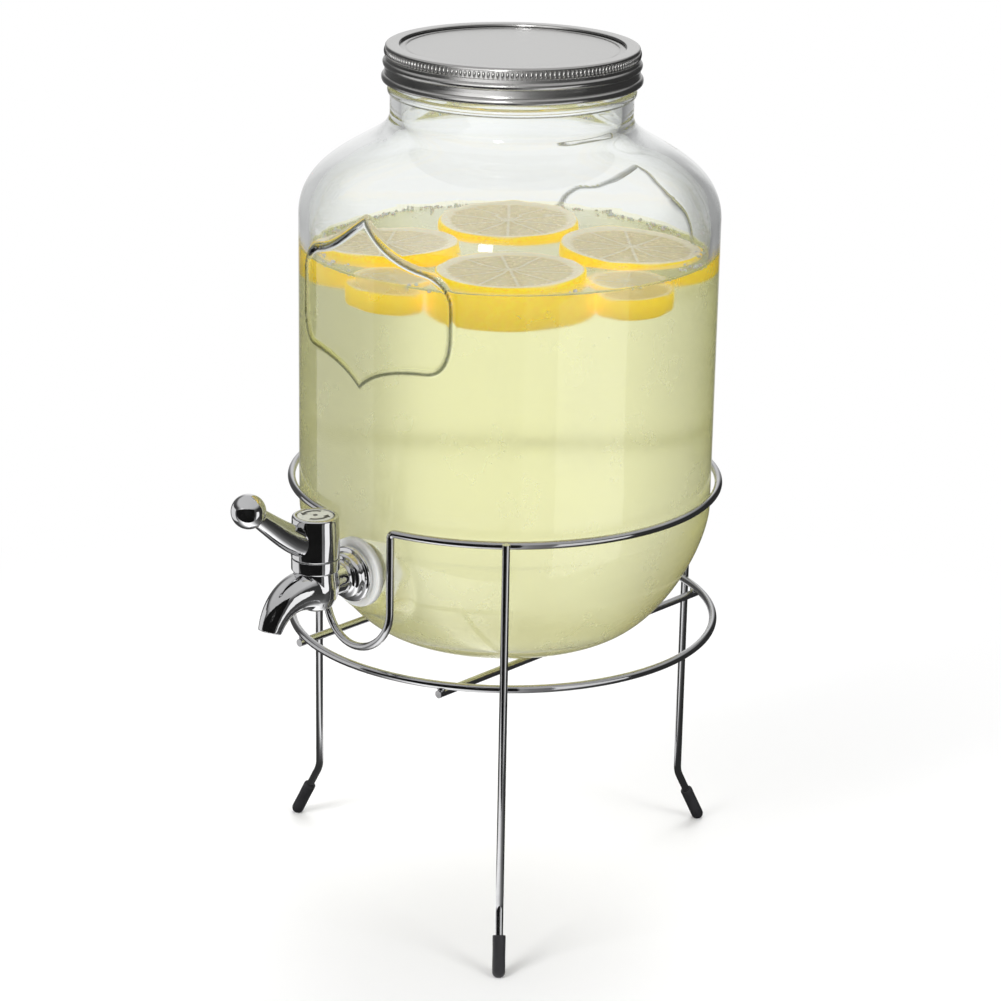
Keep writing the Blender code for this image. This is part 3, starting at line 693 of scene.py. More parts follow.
BEAD_TREE = make_bead_tree()
weld_points = []
for _, azimuth in LEGS:
    for height in (UPPER_RING, LOWER_RING):
        weld_points.append(around(RING_RADIUS + WIRE / 2, azimuth, height))
for x in (-BAR_OFFSET, BAR_OFFSET):
    for y in (-BAR_MEETS, BAR_MEETS):
        weld_points.append(Vector((AXIS.x + x, AXIS.y + y, LOWER_RING - WIRE / 2)))
values = {"Radius": 0.0017, "Least Size": 0.9, "Detail": 3, "Seed": 4, "Finish": CHROMED_WIRE}
baked("weld_beads", weld_points, [], BEAD_TREE, values, "stand")
print("welds:", len(weld_points))

# %% [markdown]
# ## Rubber tips
# Each leg ends in a dipped rubber tip with a soft lip, cut flat where it stands. The lip and the round end
# are one profile, turned on the leg's own slope.

# %% Rubber tips
TIP_LENGTH = 0.0180
TIP_LIP = 0.0181  # the soft lip stands a little proud of the tip's end
tip_profile = outline(
    (0, TIP_LENGTH),
    (WIRE / 2 + 0.0002, TIP_LENGTH),
    ((CAP_RADIUS - 0.0004, TIP_LIP), (CAP_RADIUS, TIP_LIP), (CAP_RADIUS, TIP_LIP - 0.0007), 3),
    (CAP_RADIUS - 0.00005, 0.0100),
    (CAP_RADIUS, CAP_RADIUS),
)
for a in np.linspace(0, math.pi / 2, 9)[1:-1]:
    tip_profile.append((CAP_RADIUS * math.cos(a), CAP_RADIUS * (1 - math.sin(a))))
tip_profile.append((0, 0))
for word, azimuth in LEGS:
    move = Matrix.Translation(around(LEG_TIP, azimuth, FOOT_CENTRE))
    move = move @ Matrix.Rotation(math.radians(azimuth), 4, "Z") @ Matrix.Rotation(-SPLAY, 4, "X")
    move = move @ Matrix.Translation((0, 0, -CAP_RADIUS))
    tip = turned(f"rubber_tip_{word}", tip_profile, 24, RUBBER, "stand", (f"foot_cap_{word}",), 60, move)
    for vertex in tip.data.vertices:
        vertex.co.z = max(vertex.co.z, 0.0)
print("tips:", len(LEGS))

# %% [markdown]
# ## Glass jar
# The jar is moulded: a round heel, a straight wall, a shoulder that swells and draws in to the neck, and a
# beaded rim. A raised label frame stands on its front and back. The wall is a grid of points round the axis,
# with more of them where the frame is, and a height for the frame is added point by point. Near the tap the
# wall is pressed flat, as it is moulded to seat the washers.

# %% Jar profiles
NECK = BODY + 0.044  # top of the shoulder
RIM = 0.2505
NECK_RADIUS = 0.0515
MOUTH_RADIUS = 0.0465
FLOOR_INSIDE = 0.0088  # top of the jar's floor


def heel_curve(foot, low, wall, count, power=1.5):
    """A quarter of a superellipse, from the foot up to the wall."""
    a = np.linspace(0, math.pi / 2, count + 1)
    across = np.sin(a) ** (2 / power)
    down = np.cos(a) ** (2 / power)
    return np.stack([foot + (wall - foot) * across, HEEL - (HEEL - low) * down], 1)


def shoulder_curve(body, throat, low, high, count):
    rise = high - low
    leaves, meets = low + 0.64 * rise, high - 0.32 * rise
    return bezier(((body, low), (body, leaves), (throat, meets), (throat, high)), count)


# Rows lie closer together where the upper and lower edges of the label frame cross them
wall_rows = np.concatenate(
    [
        np.arange(HEEL + 0.006, 0.121, 0.006),
        np.arange(0.122, 0.152, 0.0008),
        np.arange(0.1525, 0.1640, 0.0020),
        np.arange(0.1645, BODY - 0.0003, 0.0008),
    ]
)
shoulder_shares = np.concatenate([np.linspace(0, 0.30, 34), np.linspace(0.33, 1, 26)])
inner_heel = heel_curve(0.050, 0.009, INNER_RADIUS, 36)
foot_ring = ((0.044, 0.0012), (0.047, 0.0), (0.050, 0.0))
jar_outside = outline((0, 0.0025), (0.030, 0.0025), (0.041, 0.0023), foot_ring)
jar_outside += pairs(heel_curve(0.054, 0, JAR_RADIUS, 30))
jar_outside += [(JAR_RADIUS, z) for z in wall_rows]
jar_outside += pairs(shoulder_curve(JAR_RADIUS, NECK_RADIUS, BODY, NECK, shoulder_shares))
jar_outside += outline(
    (NECK_RADIUS, 0.2300),
    (NECK_RADIUS, 0.2335),
    ((NECK_RADIUS, 0.2338), (0.0526, 0.2342), (0.0526, 0.2355)),
    ((0.0526, 0.2358), (0.0526, 0.2372), (0.0507, 0.2374)),
    (0.0505, 0.2400),
    (0.0505, 0.2490),
    ((0.0505, 0.2493), (0.0505, RIM), (0.0495, RIM)),
)
jar_inside = round_corner((0.0475, RIM), (MOUTH_RADIUS, RIM), (MOUTH_RADIUS, 0.2490))
jar_inside += [(MOUTH_RADIUS, z) for z in np.linspace(0.2470, 0.2240, 8)]
jar_inside += pairs(shoulder_curve(INNER_RADIUS, MOUTH_RADIUS, BODY - 0.002, NECK - 0.004, 26)[::-1])
jar_inside += [(INNER_RADIUS, z) for z in np.arange(0.172, HEEL + 0.002, -0.006)]
jar_inside += pairs(inner_heel[::-1])
jar_inside += [(0.030, FLOOR_INSIDE), (0, FLOOR_INSIDE)]
print("jar profile:", len(jar_outside), "points outside,", len(jar_inside), "inside")

# %% Label frame and tap flat
FRAME_MIDDLE = 0.159
FRAME_BEAD = 0.0016  # half the bead's width
FRAME_LIFT = 0.0014
FRAME_INNER = 0.07  # no bead nearer to the axis than this
FACE_INSIDE = INNER_RADIUS - 0.0004
# Round the tap's stem: the radius up to which the wall is flat, and the one from which it is round
SEAT_OUTSIDE = (0.0165, 0.026)
SEAT_INSIDE = (0.0136, 0.020)


def frame_outline():
    """Half of the label frame, from its upper point round one side to its lower point: across, up."""
    upper = bezier(((0, 0.0350), (0.0100, 0.0268), (0.0170, 0.0205), (0.0310, 0.0178)), 14)
    shoulder = bezier(((0.0310, 0.0178), (0.0385, 0.0162), (0.0425, 0.0105), (0.0428, 0.0040)), 10)
    hip = bezier(((0.0428, -0.0080), (0.0426, -0.0175), (0.0395, -0.0238), (0.0330, -0.0240)), 10)
    lower = bezier(((0.0330, -0.0240), (0.0190, -0.0242), (0.0080, -0.0270), (0, -0.0348)), 14)
    return np.concatenate([upper, shoulder[1:], hip, lower[1:]])


def frame_near(across, up):
    """How near each point is to the label frame's outline: 1 on it and 0 beyond its edge."""
    line = frame_outline()
    here = np.stack([np.abs(across), up], -1)
    least = np.full(across.shape, 1.0)
    for start, end in zip(line[:-1], line[1:]):
        step = end - start
        share = np.clip(((here - start) @ step) / (step @ step), 0, 1)
        gap = here - start - share[..., None] * step
        least = np.minimum(least, np.hypot(gap[..., 0], gap[..., 1]))
    return np.clip(1 - least / FRAME_BEAD, 0, 1)


def eased(share):
    return share * share * (3 - 2 * share)


def flat_near_tap(points, face, seat):
    """Presses a wall flat round the tap's stem."""
    flat, fade = seat
    away = np.hypot(points[..., 0], points[..., 2] + JAR_BASE - TAP_HEIGHT)
    near = eased(np.clip((fade - away) / (fade - flat), 0, 1))
    near = np.where(points[..., 1] < 0, near, 0)
    points[..., 1] += near * (-face - points[..., 1])
    return points


dense = np.radians(np.arange(-29.4, 29.5, 0.6))
sparse = np.radians(np.arange(31.5, 148.6, 2.6))
jar_turns = np.concatenate([dense, sparse, dense + math.pi, sparse + math.pi])
jar_turns = np.unique(np.round(np.mod(jar_turns, math.tau), 6))
print("turns:", len(jar_turns))


# %% Jar
def make_jar():
    points = swing(jar_outside + jar_inside, jar_turns)
    walls = len(jar_outside)
    outside = points[:walls]
    radius = np.hypot(outside[..., 0], outside[..., 1])
    up = outside[..., 2] - FRAME_MIDDLE
    bead = np.zeros(points.shape[:2])
    for middle in (0.0, math.pi):
        away = np.mod(jar_turns - middle + math.pi, math.tau) - math.pi
        near = frame_near(JAR_RADIUS * away[None, :] * np.ones_like(up), up)
        bead[:walls] = np.maximum(bead[:walls], np.where(radius > FRAME_INNER, near, 0))
    lift = FRAME_LIFT * eased(bead[:walls])
    outside[..., :2] *= (1 + lift / np.maximum(radius, 1e-6))[..., None]
    flat_near_tap(outside, TAP_FACE, SEAT_OUTSIDE)
    flat_near_tap(points[walls:], FACE_INSIDE, SEAT_INSIDE)
    flat, faces = stitch(np.concatenate([points, bead[..., None]], -1), False)
    place = flat[:, :3] + np.array([AXIS.x, AXIS.y, JAR_BASE])
    jar = add_piece("jar_glass", place, faces, GLASS, "jar", ("glass_jar",), 60)
    store = jar.data.attributes.new("frame_bead", "FLOAT", "POINT")
    store.data.foreach_set("value", flat[:, 3].astype(np.float32))
    return jar


jar = make_jar()
print("jar faces:", len(jar.data.polygons))

# %% [markdown]
# ## Drink
# The lemonade is as wide as the inside of the jar, with its skin a tenth of a millimetre inside the glass.
# Its top climbs the wall a little, as water does on clean glass.

# %% Drink
def make_drink(overlap=0.00012):
    wall = INNER_RADIUS + overlap
    floor = FLOOR_INSIDE - overlap
    climb = ((INNER_RADIUS - 0.0030, FILL), (INNER_RADIUS, FILL), (wall, FILL + 0.0016), 6)
    profile = outline((0, FILL), (0.040, FILL), (0.070, FILL), (INNER_RADIUS - 0.0040, FILL), climb)
    profile += [(wall, z) for z in np.arange(FILL - 0.004, HEEL + 0.002, -0.006)]
    profile += pairs((inner_heel + np.array([overlap, -overlap]))[::-1])
    profile += [(0.030, floor), (0, floor)]
    points = flat_near_tap(swing(profile, jar_turns), FACE_INSIDE + overlap, SEAT_INSIDE)
    flat, faces = stitch(points, False)
    flat = flat + np.array([AXIS.x, AXIS.y, JAR_BASE])
    return add_piece("lemonade_fill", flat, faces, DRINK, "jar", ("lemonade",), 60)


drink = make_drink()
print("drink faces:", len(drink.data.polygons))

# %% [markdown]
# ## Lemon slices
# Four round slices float at the top and two end slices hang just under it. Each one is turned with a full
# rind, a slightly sunk face of pulp and soft edges, then leaned and set in its place. The place of every
# point in its own slice is stored for the material.

# %% Lemon slices
SLICES = (  # azimuth, distance from the axis, radius, thickness, lean in degrees, depth under the others
    (FRONT_LEG, 0.0465, 0.031, 0.018, 1.6, 0),
    (FRONT_LEG + 90, 0.0520, 0.031, 0.009, 4.0, 0),
    (FRONT_LEG + 180, 0.0465, 0.031, 0.009, -1.5, 0),
    (FRONT_LEG - 90, 0.0520, 0.031, 0.014, 2.5, 0),
    (FRONT_LEG + 45, 0.0674, 0.016, 0.009, 2.4, 0.0075),
    (FRONT_LEG - 45, 0.0674, 0.016, 0.009, -2.2, 0.0075),
)
SLICE_STEPS = 96
SLICE_FLOATS = 0.0025  # how far a slice's top stands out of the drink


def slice_profile(radius, thickness):
    edge = min(0.0018, 0.22 * thickness)
    top = [(0, -0.0005), (0.10 * radius, -0.0002)]
    top += [(k * radius, -0.0007) for k in np.linspace(0.16, 0.84, 11)]
    top += [(0.88 * radius, -0.0002), (radius - edge, 0)]
    top += round_corner((radius - 0.6 * edge, -0.02 * edge), (radius, 0), (radius, -edge), 5)
    belly = []
    for k in np.linspace(0, 1, 7)[1:-1]:
        belly.append((radius + 0.0002 * math.sin(math.pi * k), -edge - (thickness - 2 * edge) * k))
    return top + belly + [(r, -thickness - z) for r, z in top[::-1]]


def make_slice(number, azimuth, distance, radius, thickness, lean, sink):
    turns = full_turn(SLICE_STEPS)
    points = swing(slice_profile(radius, thickness), turns)
    wobble = 1 + 0.012 * np.sin(3 * turns + number) + 0.006 * np.sin(7 * turns + 2 * number)
    points[:, :, :2] *= np.minimum(wobble, 1.012)[None, :, None]
    flat, faces = stitch(points, False)
    seat = around(distance, azimuth, JAR_BASE + FILL + SLICE_FLOATS - sink)
    lean_axis = around(1, azimuth + 60) - around(0, 0)
    move = Matrix.Translation(seat) @ Matrix.Rotation(math.radians(lean), 4, lean_axis)
    spot = [move @ Vector(p) for p in flat]
    piece = add_piece(f"lemon_{number}", spot, faces, LEMON, "jar", (f"lemon_slice_{number}",), 50)
    spin = Matrix.Rotation(0.7 * number, 4, "Z")
    own = np.array([spin @ Vector(p) for p in flat]) / radius
    store = piece.data.attributes.new("slice_place", "FLOAT_VECTOR", "POINT")
    store.data.foreach_set("vector", own.astype(np.float32).ravel())


for number, facts in enumerate(SLICES, 1):
    make_slice(number, *facts)
print("slices:", len(SLICES))

# %% [markdown]
# ## Bubbles
# A line of small bubbles clings to the glass where the drink meets it, thickest at the back. The bead tree is
# used again, on points that a seeded random spread gives. They too give off a little light, as the drink
# does.

# %% Bubbles
def bubble_foam(name):
    values = {
        "Emission Color": (0.85, 0.85, 0.75, 1),
        "Emission Strength": 0.12,
        "Subsurface Weight": 0.3,
        "Subsurface Scale": 0.001,
    }
    material, tree, shader = blank_material(name, values)
    height = handled(tree, shader, 200.0, 0.12, 0.25)
    tone = colour_ramp(tree, height, ((0.3, (0.78, 0.78, 0.66)), (0.8, (0.90, 0.90, 0.82))))
    set_inputs(tree, shader, {"Base Color": tone})
    return material


def bubble_points(count=260, seed=11):
    rng = np.random.default_rng(seed)
    points = []
    for _ in range(count):
        azimuth = rng.normal(VIEW_AZIMUTH + 180, 75)
        radius = INNER_RADIUS - 0.0012 - abs(rng.normal(0, 0.0035))
        points.append(around(radius, azimuth, JAR_BASE + FILL + 0.0002))
    return points


values = {"Radius": 0.0010, "Least Size": 0.25, "Detail": 2, "Seed": 9, "Finish": bubble_foam("bubble_foam")}
bubbles = baked("surface_bubbles", bubble_points(), [], BEAD_TREE, values, "jar")
print("bubble faces:", len(bubbles.data.polygons))

# %% [markdown]
# ## Lid
# The lid is in two parts, as on preserving jars: a flat disc with a rolled step, and a screw band with a
# knurled edge. The knurl repeats, so a Geometry Nodes tree sets one rib at each step round a circle.

# %% Disc
DISC_TOP = lid_high[2]
DISC_RADIUS = (lid_high[0] - lid_low[0]) / 2
disc_profile = outline(
    (0, DISC_TOP),
    (0.0435, DISC_TOP),
    ((0.0438, DISC_TOP), (0.0446, DISC_TOP), (0.0450, DISC_TOP - 0.0002), 4),
    ((0.0460, DISC_TOP - 0.0002), (0.0464, DISC_TOP), (0.0470, DISC_TOP), 4),
    (DISC_RADIUS - 0.0003, DISC_TOP),
    (DISC_RADIUS, DISC_TOP - 0.0005),
    (DISC_RADIUS - 0.0003, lid_low[2]),
    (0, lid_low[2]),
)
turned("lid_plate", disc_profile, 160, TINPLATE, "lid", ("lid_disc",), 40, ON_AXIS)
print("disc radius:", round(DISC_RADIUS, 4))

# %% Screw band
band_low, band_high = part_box("screw_band")
BAND = band_low[2]
BAND_HEIGHT = band_high[2] - band_low[2]
BAND_RADIUS = 0.0537
FLANGE = -0.0061  # the inner edge of the band's flange, from the band's radius


def at(offset, share):
    """A point of the band: an offset from its radius, and a height as a share of its own."""
    return (BAND_RADIUS + offset, BAND + share * BAND_HEIGHT)


band_profile = outline(
    (at(FLANGE, 0.955), at(FLANGE, 1.0), at(FLANGE + 0.0006, 1.0), 4),
    (at(-0.0014, 1.0), at(-0.0001, 1.0), at(-0.0001, 0.925), 6),
    at(-0.0003, 0.91),
    at(-0.0003, 0.70),
    at(0, 0.685),
    at(0, 0.62),
    (at(0, 0.60), at(0.0008, 0.57), at(0.0009, 0.515), 4),
    (at(0.0009, 0.50), at(0.0008, 0.43), at(0.0001, 0.39), 4),
    at(0.0001, 0.30),
    at(0.0001, 0.22),
    (at(0.0002, 0.20), at(0.0014, 0.17), at(0.0014, 0.10), 5),
    (at(0.0014, 0.08), at(0.0014, 0.0), at(0.0006, 0.0), 4),
    at(-0.0004, 0.0),
    at(-0.001, 0.21),
    at(-0.001, 0.90),
    at(FLANGE, 0.93),
)
turned("band_shell", band_profile, 200, TINPLATE, "band", ("screw_band",), 40, ON_AXIS)
print("band height:", round(BAND_HEIGHT, 4))


# %% Knurl
def make_knurl_tree():
    inputs = {"Ribs": "Int", "Radius": "Float", "Height": "Float", "Width": "Float", "Place": "Vector"}
    tree, given = start_tree("knurl_round_a_rim", inputs)
    values = {"Vertices": given["Ribs"], "Radius": given["Radius"]}
    circle = add_node(tree, "GeometryNodeMeshCircle", values).outputs["Mesh"]
    values = {"Segments": 8, "Rings": 6, "Radius": 1.0}
    rib = add_node(tree, "GeometryNodeMeshUVSphere", values).outputs["Mesh"]
    values = {"X": given["Width"], "Y": given["Width"], "Z": given["Height"]}
    size = add_node(tree, "ShaderNodeCombineXYZ", values).outputs["Vector"]
    spot = tree.nodes.new("GeometryNodeInputPosition").outputs["Position"]
    facing = add_node(tree, "FunctionNodeAlignRotationToVector", {"Vector": spot}, axis="X")
    values = {"Points": circle, "Instance": rib, "Rotation": facing.outputs["Rotation"], "Scale": size}
    copies = add_node(tree, "GeometryNodeInstanceOnPoints", values).outputs["Instances"]
    values = {"Geometry": copies, "Translation": given["Place"]}
    shifted = add_node(tree, "GeometryNodeTransform", values).outputs["Geometry"]
    return end_tree(tree, shifted, given["Finish"])


values = {
    "Ribs": 172,
    "Radius": BAND_RADIUS - 0.0004,
    "Height": 0.205 * BAND_HEIGHT / 2,
    "Width": 0.00075,
    "Place": (AXIS.x, AXIS.y, BAND + 0.805 * BAND_HEIGHT),
    "Finish": TINPLATE,
}
knurl = baked("band_knurl", [(0, 0, 0)], [], make_knurl_tree(), values, "band")
print("knurl faces:", len(knurl.data.polygons))

# %% [markdown]
# ## Tap
# The tap is a chromed moulding, with soft fillets where the spout and the stem leave the barrel. Separate
# solids for those three are joined, and a voxel remesh with some smoothing melts the joins as a mould does.
# The crisp collar, flange and lever cap are turned on their own. All of it is drawn round the tap's own
# upright axis.

# %% Sweep helper
def sweep(path, widths, heights, sides=28):
    """Points and faces of an oval bar along a path that lies in the tap's own plane."""
    path = np.asarray(path, float)
    ahead = np.gradient(path, axis=0)
    ahead /= np.linalg.norm(ahead, axis=1)[:, None]
    side = np.array([1.0, 0.0, 0.0])
    lift = np.cross(ahead, side)
    a = full_turn(sides)
    across = (np.cos(a)[None, :] * np.asarray(widths)[:, None])[:, :, None]
    up = (np.sin(a)[None, :] * np.asarray(heights)[:, None])[:, :, None]
    points = path[:, None, :] + side * across + lift[:, None, :] * up
    rows = len(path)
    faces = []
    for row in range(rows - 1):
        for i in range(sides):
            j = (i + 1) % sides
            faces.append([row * sides + i, row * sides + j, (row + 1) * sides + j, (row + 1) * sides + i])
    faces.append(list(range(sides)))
    faces.append([(rows - 1) * sides + i for i in range(sides)])
    return points.reshape(-1, 3), faces


# %% Melt helpers
def loose(name, points, faces):
    """A solid that is only a step on the way to a piece."""
    mesh = plain_mesh(name, points, faces)
    outward(mesh)
    return placed(name, mesh)


def turned_solid(name, profile, steps, move=Matrix()):
    points, faces = stitch(swing(profile, full_turn(steps)), False)
    return loose(name, [move @ Vector(p) for p in points], faces)


def melted(name, solids, cutters, voxel, passes, material, body, replaced):
    """Joins solids and cuts bores, then melts the joins with a voxel remesh and some smoothing."""
    first = solids[0]
    for other, operation in [(s, "UNION") for s in solids[1:]] + [(c, "DIFFERENCE") for c in cutters]:
        step = first.modifiers.new(operation.lower(), "BOOLEAN")
        step.operation = operation
        step.solver = "EXACT"
        step.object = other
    melt = first.modifiers.new("melt", "REMESH")
    melt.mode = "VOXEL"
    melt.voxel_size = voxel
    melt.use_smooth_shade = True
    ease = first.modifiers.new("ease", "SMOOTH")
    ease.factor = 0.5
    ease.iterations = passes
    mesh = evaluated_mesh(first)
    for solid in [*solids, *cutters]:
        bpy.data.objects.remove(solid)
    mesh.name = name
    mesh.materials.clear()
    mesh.materials.append(material)
    mesh.transform(ON_VALVE)
    mesh.shade_smooth()
    return placed(name, mesh, body, replaced)


# %% Tap body
SPOUT_STEPS = 26
DRAIN_RADIUS = 0.0037
DRAIN_START = 14  # the step of the spout at which its bore begins
TO_BACK = TO_FRONT.transposed()  # turns +Z to +Y
barrel_profile = [(0, 0.0090), (0.0086, 0.0090), (0.0090, 0.0040), (0.0095, 0.0005), (0.0091, -0.0045)]
barrel_profile += [(0.0072, -0.0084), (0.0038, -0.0102), (0, -0.0106)]
stem_profile = [(0, 0.0415), (0.0062, 0.0415), (0.0062, 0.0200), (0.0066, 0.0190), (0.0066, 0.0100)]
stem_profile += [(0.0070, -0.001), (0, -0.001)]
spout_curve = ((0, -0.001, -0.0012), (0, -0.0132, 0.0022), (0, -0.0229, -0.0027), (0, -0.0263, -0.0135))
spout_path = bezier(spout_curve, SPOUT_STEPS)
shrink = np.linspace(0, 1, SPOUT_STEPS + 1)
barrel = turned_solid("barrel", barrel_profile, 40)
spout = loose("spout", *sweep(spout_path, 0.0091 - 0.0042 * shrink, 0.0092 - 0.0043 * shrink))
stem = turned_solid("stem", stem_profile, 36, TO_BACK)
drain_path = np.vstack([spout_path[DRAIN_START:], 2 * spout_path[-1:] - spout_path[-4:-3]])
drain_radii = [DRAIN_RADIUS] * len(drain_path)
drain = loose("drain", *sweep(drain_path, drain_radii, drain_radii, 20))
tap = melted("tap_moulding", [barrel, spout, stem], [drain], 0.00042, 6, PLATED_TAP, "jar", ("tap_body",))
print("tap faces:", len(tap.data.polygons))

# %% Collar and flange
WASHER = 0.003  # thickness of the outer washer
collar_profile = outline(
    (0.0052, 0.0070),
    ((0.0090, 0.0070), (0.0101, 0.0074), (0.0101, 0.0080), 4),
    (0.0101, 0.0082),
    ((0.0101, 0.0123), (0.0101, 0.0127), (0.0098, 0.0127), 3),
    (0.0097, 0.0127),
    (0.0052, 0.0127),
)
turned("tap_collar", collar_profile, 64, PLATED_TAP, "jar", (), 35, ON_VALVE)
flange_profile = outline(
    (0.0060, 0),
    (0.0117, 0),
    ((0.0119, 0), (0.0120, 0), (0.0120, 0.0003), 3),
    ((0.0120, 0.0016), (0.0120, 0.0026), (0.0110, 0.0027), 4),
    (0.0101, 0.0029),
    ((0.0099, 0.0034), (0.0098, 0.0058), (0.0088, 0.0062), 5),
    ((0.0080, 0.0064), (0.0068, 0.0066), (0.0067, 0.0080), 4),
    (0.0060, 0.0080),
    base=TAP_FACE + GAP + WASHER + GAP,
)
turned("tap_flange", flange_profile, 72, PLATED_TAP, "jar", (), 35, ON_TAP)
print("collar and flange made")

# %% Lever
CAP_BASE, CAP_TOP = 0.0130, 0.0310
ARM_REACH = 0.0375
ARM_STEPS = 22
KNOB_RADIUS = 0.0072
cap_profile = outline(
    (0.0060, CAP_BASE),
    (0.0096, CAP_BASE),
    ((0.0098, CAP_BASE), (0.0102, CAP_BASE), (0.0102, CAP_BASE + 0.0006), 3),
    (0.0100, 0.0220),
    (0.0098, CAP_TOP - 0.0014),
    ((0.0098, CAP_TOP - 0.0012), (0.0097, CAP_TOP), (0.0088, CAP_TOP), 5),
    ((0.0081, CAP_TOP), (0.0079, CAP_TOP), (0.0079, CAP_TOP - 0.0004), 3),
    (0.0079, CAP_TOP - 0.0016),
    (0.0060, CAP_TOP - 0.0016),
)
turned("lever_cap", cap_profile, 72, PLATED_TAP, "tap_handle", (), 35, ON_VALVE)
core = turned_solid("lever_core", [(0, 0.0284), (0.0092, 0.0284), (0.0096, 0.0140), (0, 0.0140)], 40)
arm_root = CAP_BASE + 0.42 * (CAP_TOP - CAP_BASE)
knob_height = CAP_TOP + 0.0106
arm_rise = knob_height - arm_root
arm_curve = ((0, -0.0051, arm_root), (0, -0.0142, arm_root + 0.08 * arm_rise))
arm_curve += ((0, -0.0255, arm_root + 0.60 * arm_rise), (0, -ARM_REACH, knob_height))
slim = np.linspace(0, 1, ARM_STEPS + 1)
arm = loose("arm", *sweep(bezier(arm_curve, ARM_STEPS), 0.0052 - 0.0019 * slim, 0.0068 - 0.0032 * slim))
knob_curve = [(KNOB_RADIUS * math.sin(a), KNOB_RADIUS * math.cos(a)) for a in np.linspace(0, math.pi, 33)]
knob_curve[0] = (0, KNOB_RADIUS)
knob_curve[-1] = (0, -KNOB_RADIUS)
knob = turned_solid("knob", knob_curve, 48, Matrix.Translation((0, -ARM_REACH, knob_height)))
lever = melted("lever_arm", [core, arm, knob], [], 0.00040, 5, PLATED_TAP, "tap_handle", ("tap_lever",))
print("lever faces:", len(lever.data.polygons))

# %% [markdown]
# ## Dial
# The top of the lever holds a pale disc with moulded marks that show which way to turn: two curved arrows and
# a dot, as on many taps.

# %% Dial
DIAL_TOP = CAP_TOP - 0.0001
MARK_LOW, MARK_HIGH = DIAL_TOP - 0.0001, DIAL_TOP + 0.00015
dial_profile = outline(
    (0, DIAL_TOP),
    (0.0069, DIAL_TOP),
    ((0.0071, DIAL_TOP), (0.0075, DIAL_TOP), (0.0075, DIAL_TOP - 0.0004), 3),
    (0.0075, DIAL_TOP - 0.0012),
    (0, DIAL_TOP - 0.0012),
)
turned("dial_disc", dial_profile, 64, DIAL, "tap_handle", ("dial_insert",), 35, ON_VALVE)


def arc_mark(name, start, end, radius=0.0052, width=0.0010, head=28, steps=18):
    """A flat curved arrow between two angles in degrees, raised a little from the dial."""

    def spot(away, angle):
        return (away * math.sin(angle), -away * math.cos(angle), MARK_LOW)

    angles = np.radians(np.linspace(start, end, steps))
    corners = [spot(radius + side * width / 2, a) for a in angles for side in (-1, 1)]
    faces = [[2 * i, 2 * i + 1, 2 * i + 3, 2 * i + 2] for i in range(steps - 1)]
    faces.append([2 * steps, 2 * steps + 1, 2 * steps + 2])
    corners += [spot(radius + side * 1.6 * width, angles[-1]) for side in (-1, 1)]
    corners.append(spot(radius, math.radians(end + head)))
    bm = bmesh.new()
    verts = [bm.verts.new(corner) for corner in corners]
    for face in faces:
        bm.faces.new([verts[i] for i in face])
    made = bmesh.ops.extrude_face_region(bm, geom=bm.faces[:])
    raised = [v for v in made["geom"] if isinstance(v, bmesh.types.BMVert)]
    bmesh.ops.translate(bm, vec=(0, 0, MARK_HIGH - MARK_LOW), verts=raised)
    bmesh.ops.recalc_face_normals(bm, faces=bm.faces)
    mesh = bpy.data.meshes.new(name)
    bm.to_mesh(mesh)
    bm.free()
    mesh.transform(ON_VALVE)
    mesh.materials.append(INK)
    return placed(name, mesh, "tap_handle")


arc_mark("dial_arrow_open", 20, 110)
arc_mark("dial_arrow_shut", -160, -70)
dot_profile = [(0, MARK_HIGH), (0.0009, MARK_HIGH), (0.0010, MARK_LOW), (0, MARK_LOW)]
turned("dial_dot", dot_profile, 20, INK, "tap_handle", (), 35, ON_VALVE)
print("dial marks: 3")

# %% [markdown]
# ## Washers and nut
# A milky silicone washer sits between the flange and the glass, and a second one with a nut closes the hole
# from the inside, where they show through the drink. The plain solids of the nut, the lid's liner and the
# valve's small pieces are good enough as they are, and only get a finish.

# %% Washers and nut
washer_profile = outline(
    (0.0065, 0.0002),
    (0.0146, 0.0002),
    ((0.0148, 0.0002), (0.0150, 0.0002), (0.0150, 0.0005), 3),
    ((0.0150, 0.0022), (0.0150, 0.0033), (0.0139, 0.0033), 5),
    (0.0065, 0.0033),
    base=TAP_FACE,
)
turned("washer_outer", washer_profile, 64, SILICONE, "jar", ("outer_gasket",), 35, ON_TAP)
seal_low, seal_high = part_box("inner_gasket")
seal_depth = seal_high[1] - seal_low[1]
seal_profile = outline(
    (0.0065, 0),
    (0.0112, 0),
    ((0.0114, 0), (0.0116, 0), (0.0116, 0.0003), 3),
    ((0.0116, seal_depth - 0.0003), (0.0116, seal_depth), (0.0113, seal_depth), 3),
    (0.0065, seal_depth),
    base=AXIS.y - seal_high[1],
)
turned("washer_inner", seal_profile, 56, SILICONE, "jar", ("inner_gasket",), 35, ON_TAP)
PLAIN_SOLIDS = {
    "lid_liner": SILICONE,
    "lock_nut": NYLON,
    "valve_plug": NYLON,
    "o_ring_1": RUBBER,
    "o_ring_2": RUBBER,
    "lever_screw": SCREW_STEEL,
}
for node, finish in PLAIN_SOLIDS.items():
    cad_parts[node].data.materials.clear()
    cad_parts[node].data.materials.append(finish)
print("washers: 2, plain solids:", len(PLAIN_SOLIDS))

# %% [markdown]
# ## Studio
# The dispenser stands on white. Chrome looks like chrome only when it mirrors a room with dark and light
# walls, and the drink bends the view far to the sides, so it shows walls too. One node group gives the
# brightness of two such rooms by direction: one for mirrors, dark but for light walls to the left of the
# camera and behind the object, and one for what is seen through clear pieces, which dims towards the sides.
# The floor and the world both use it, and show plain white to the camera.

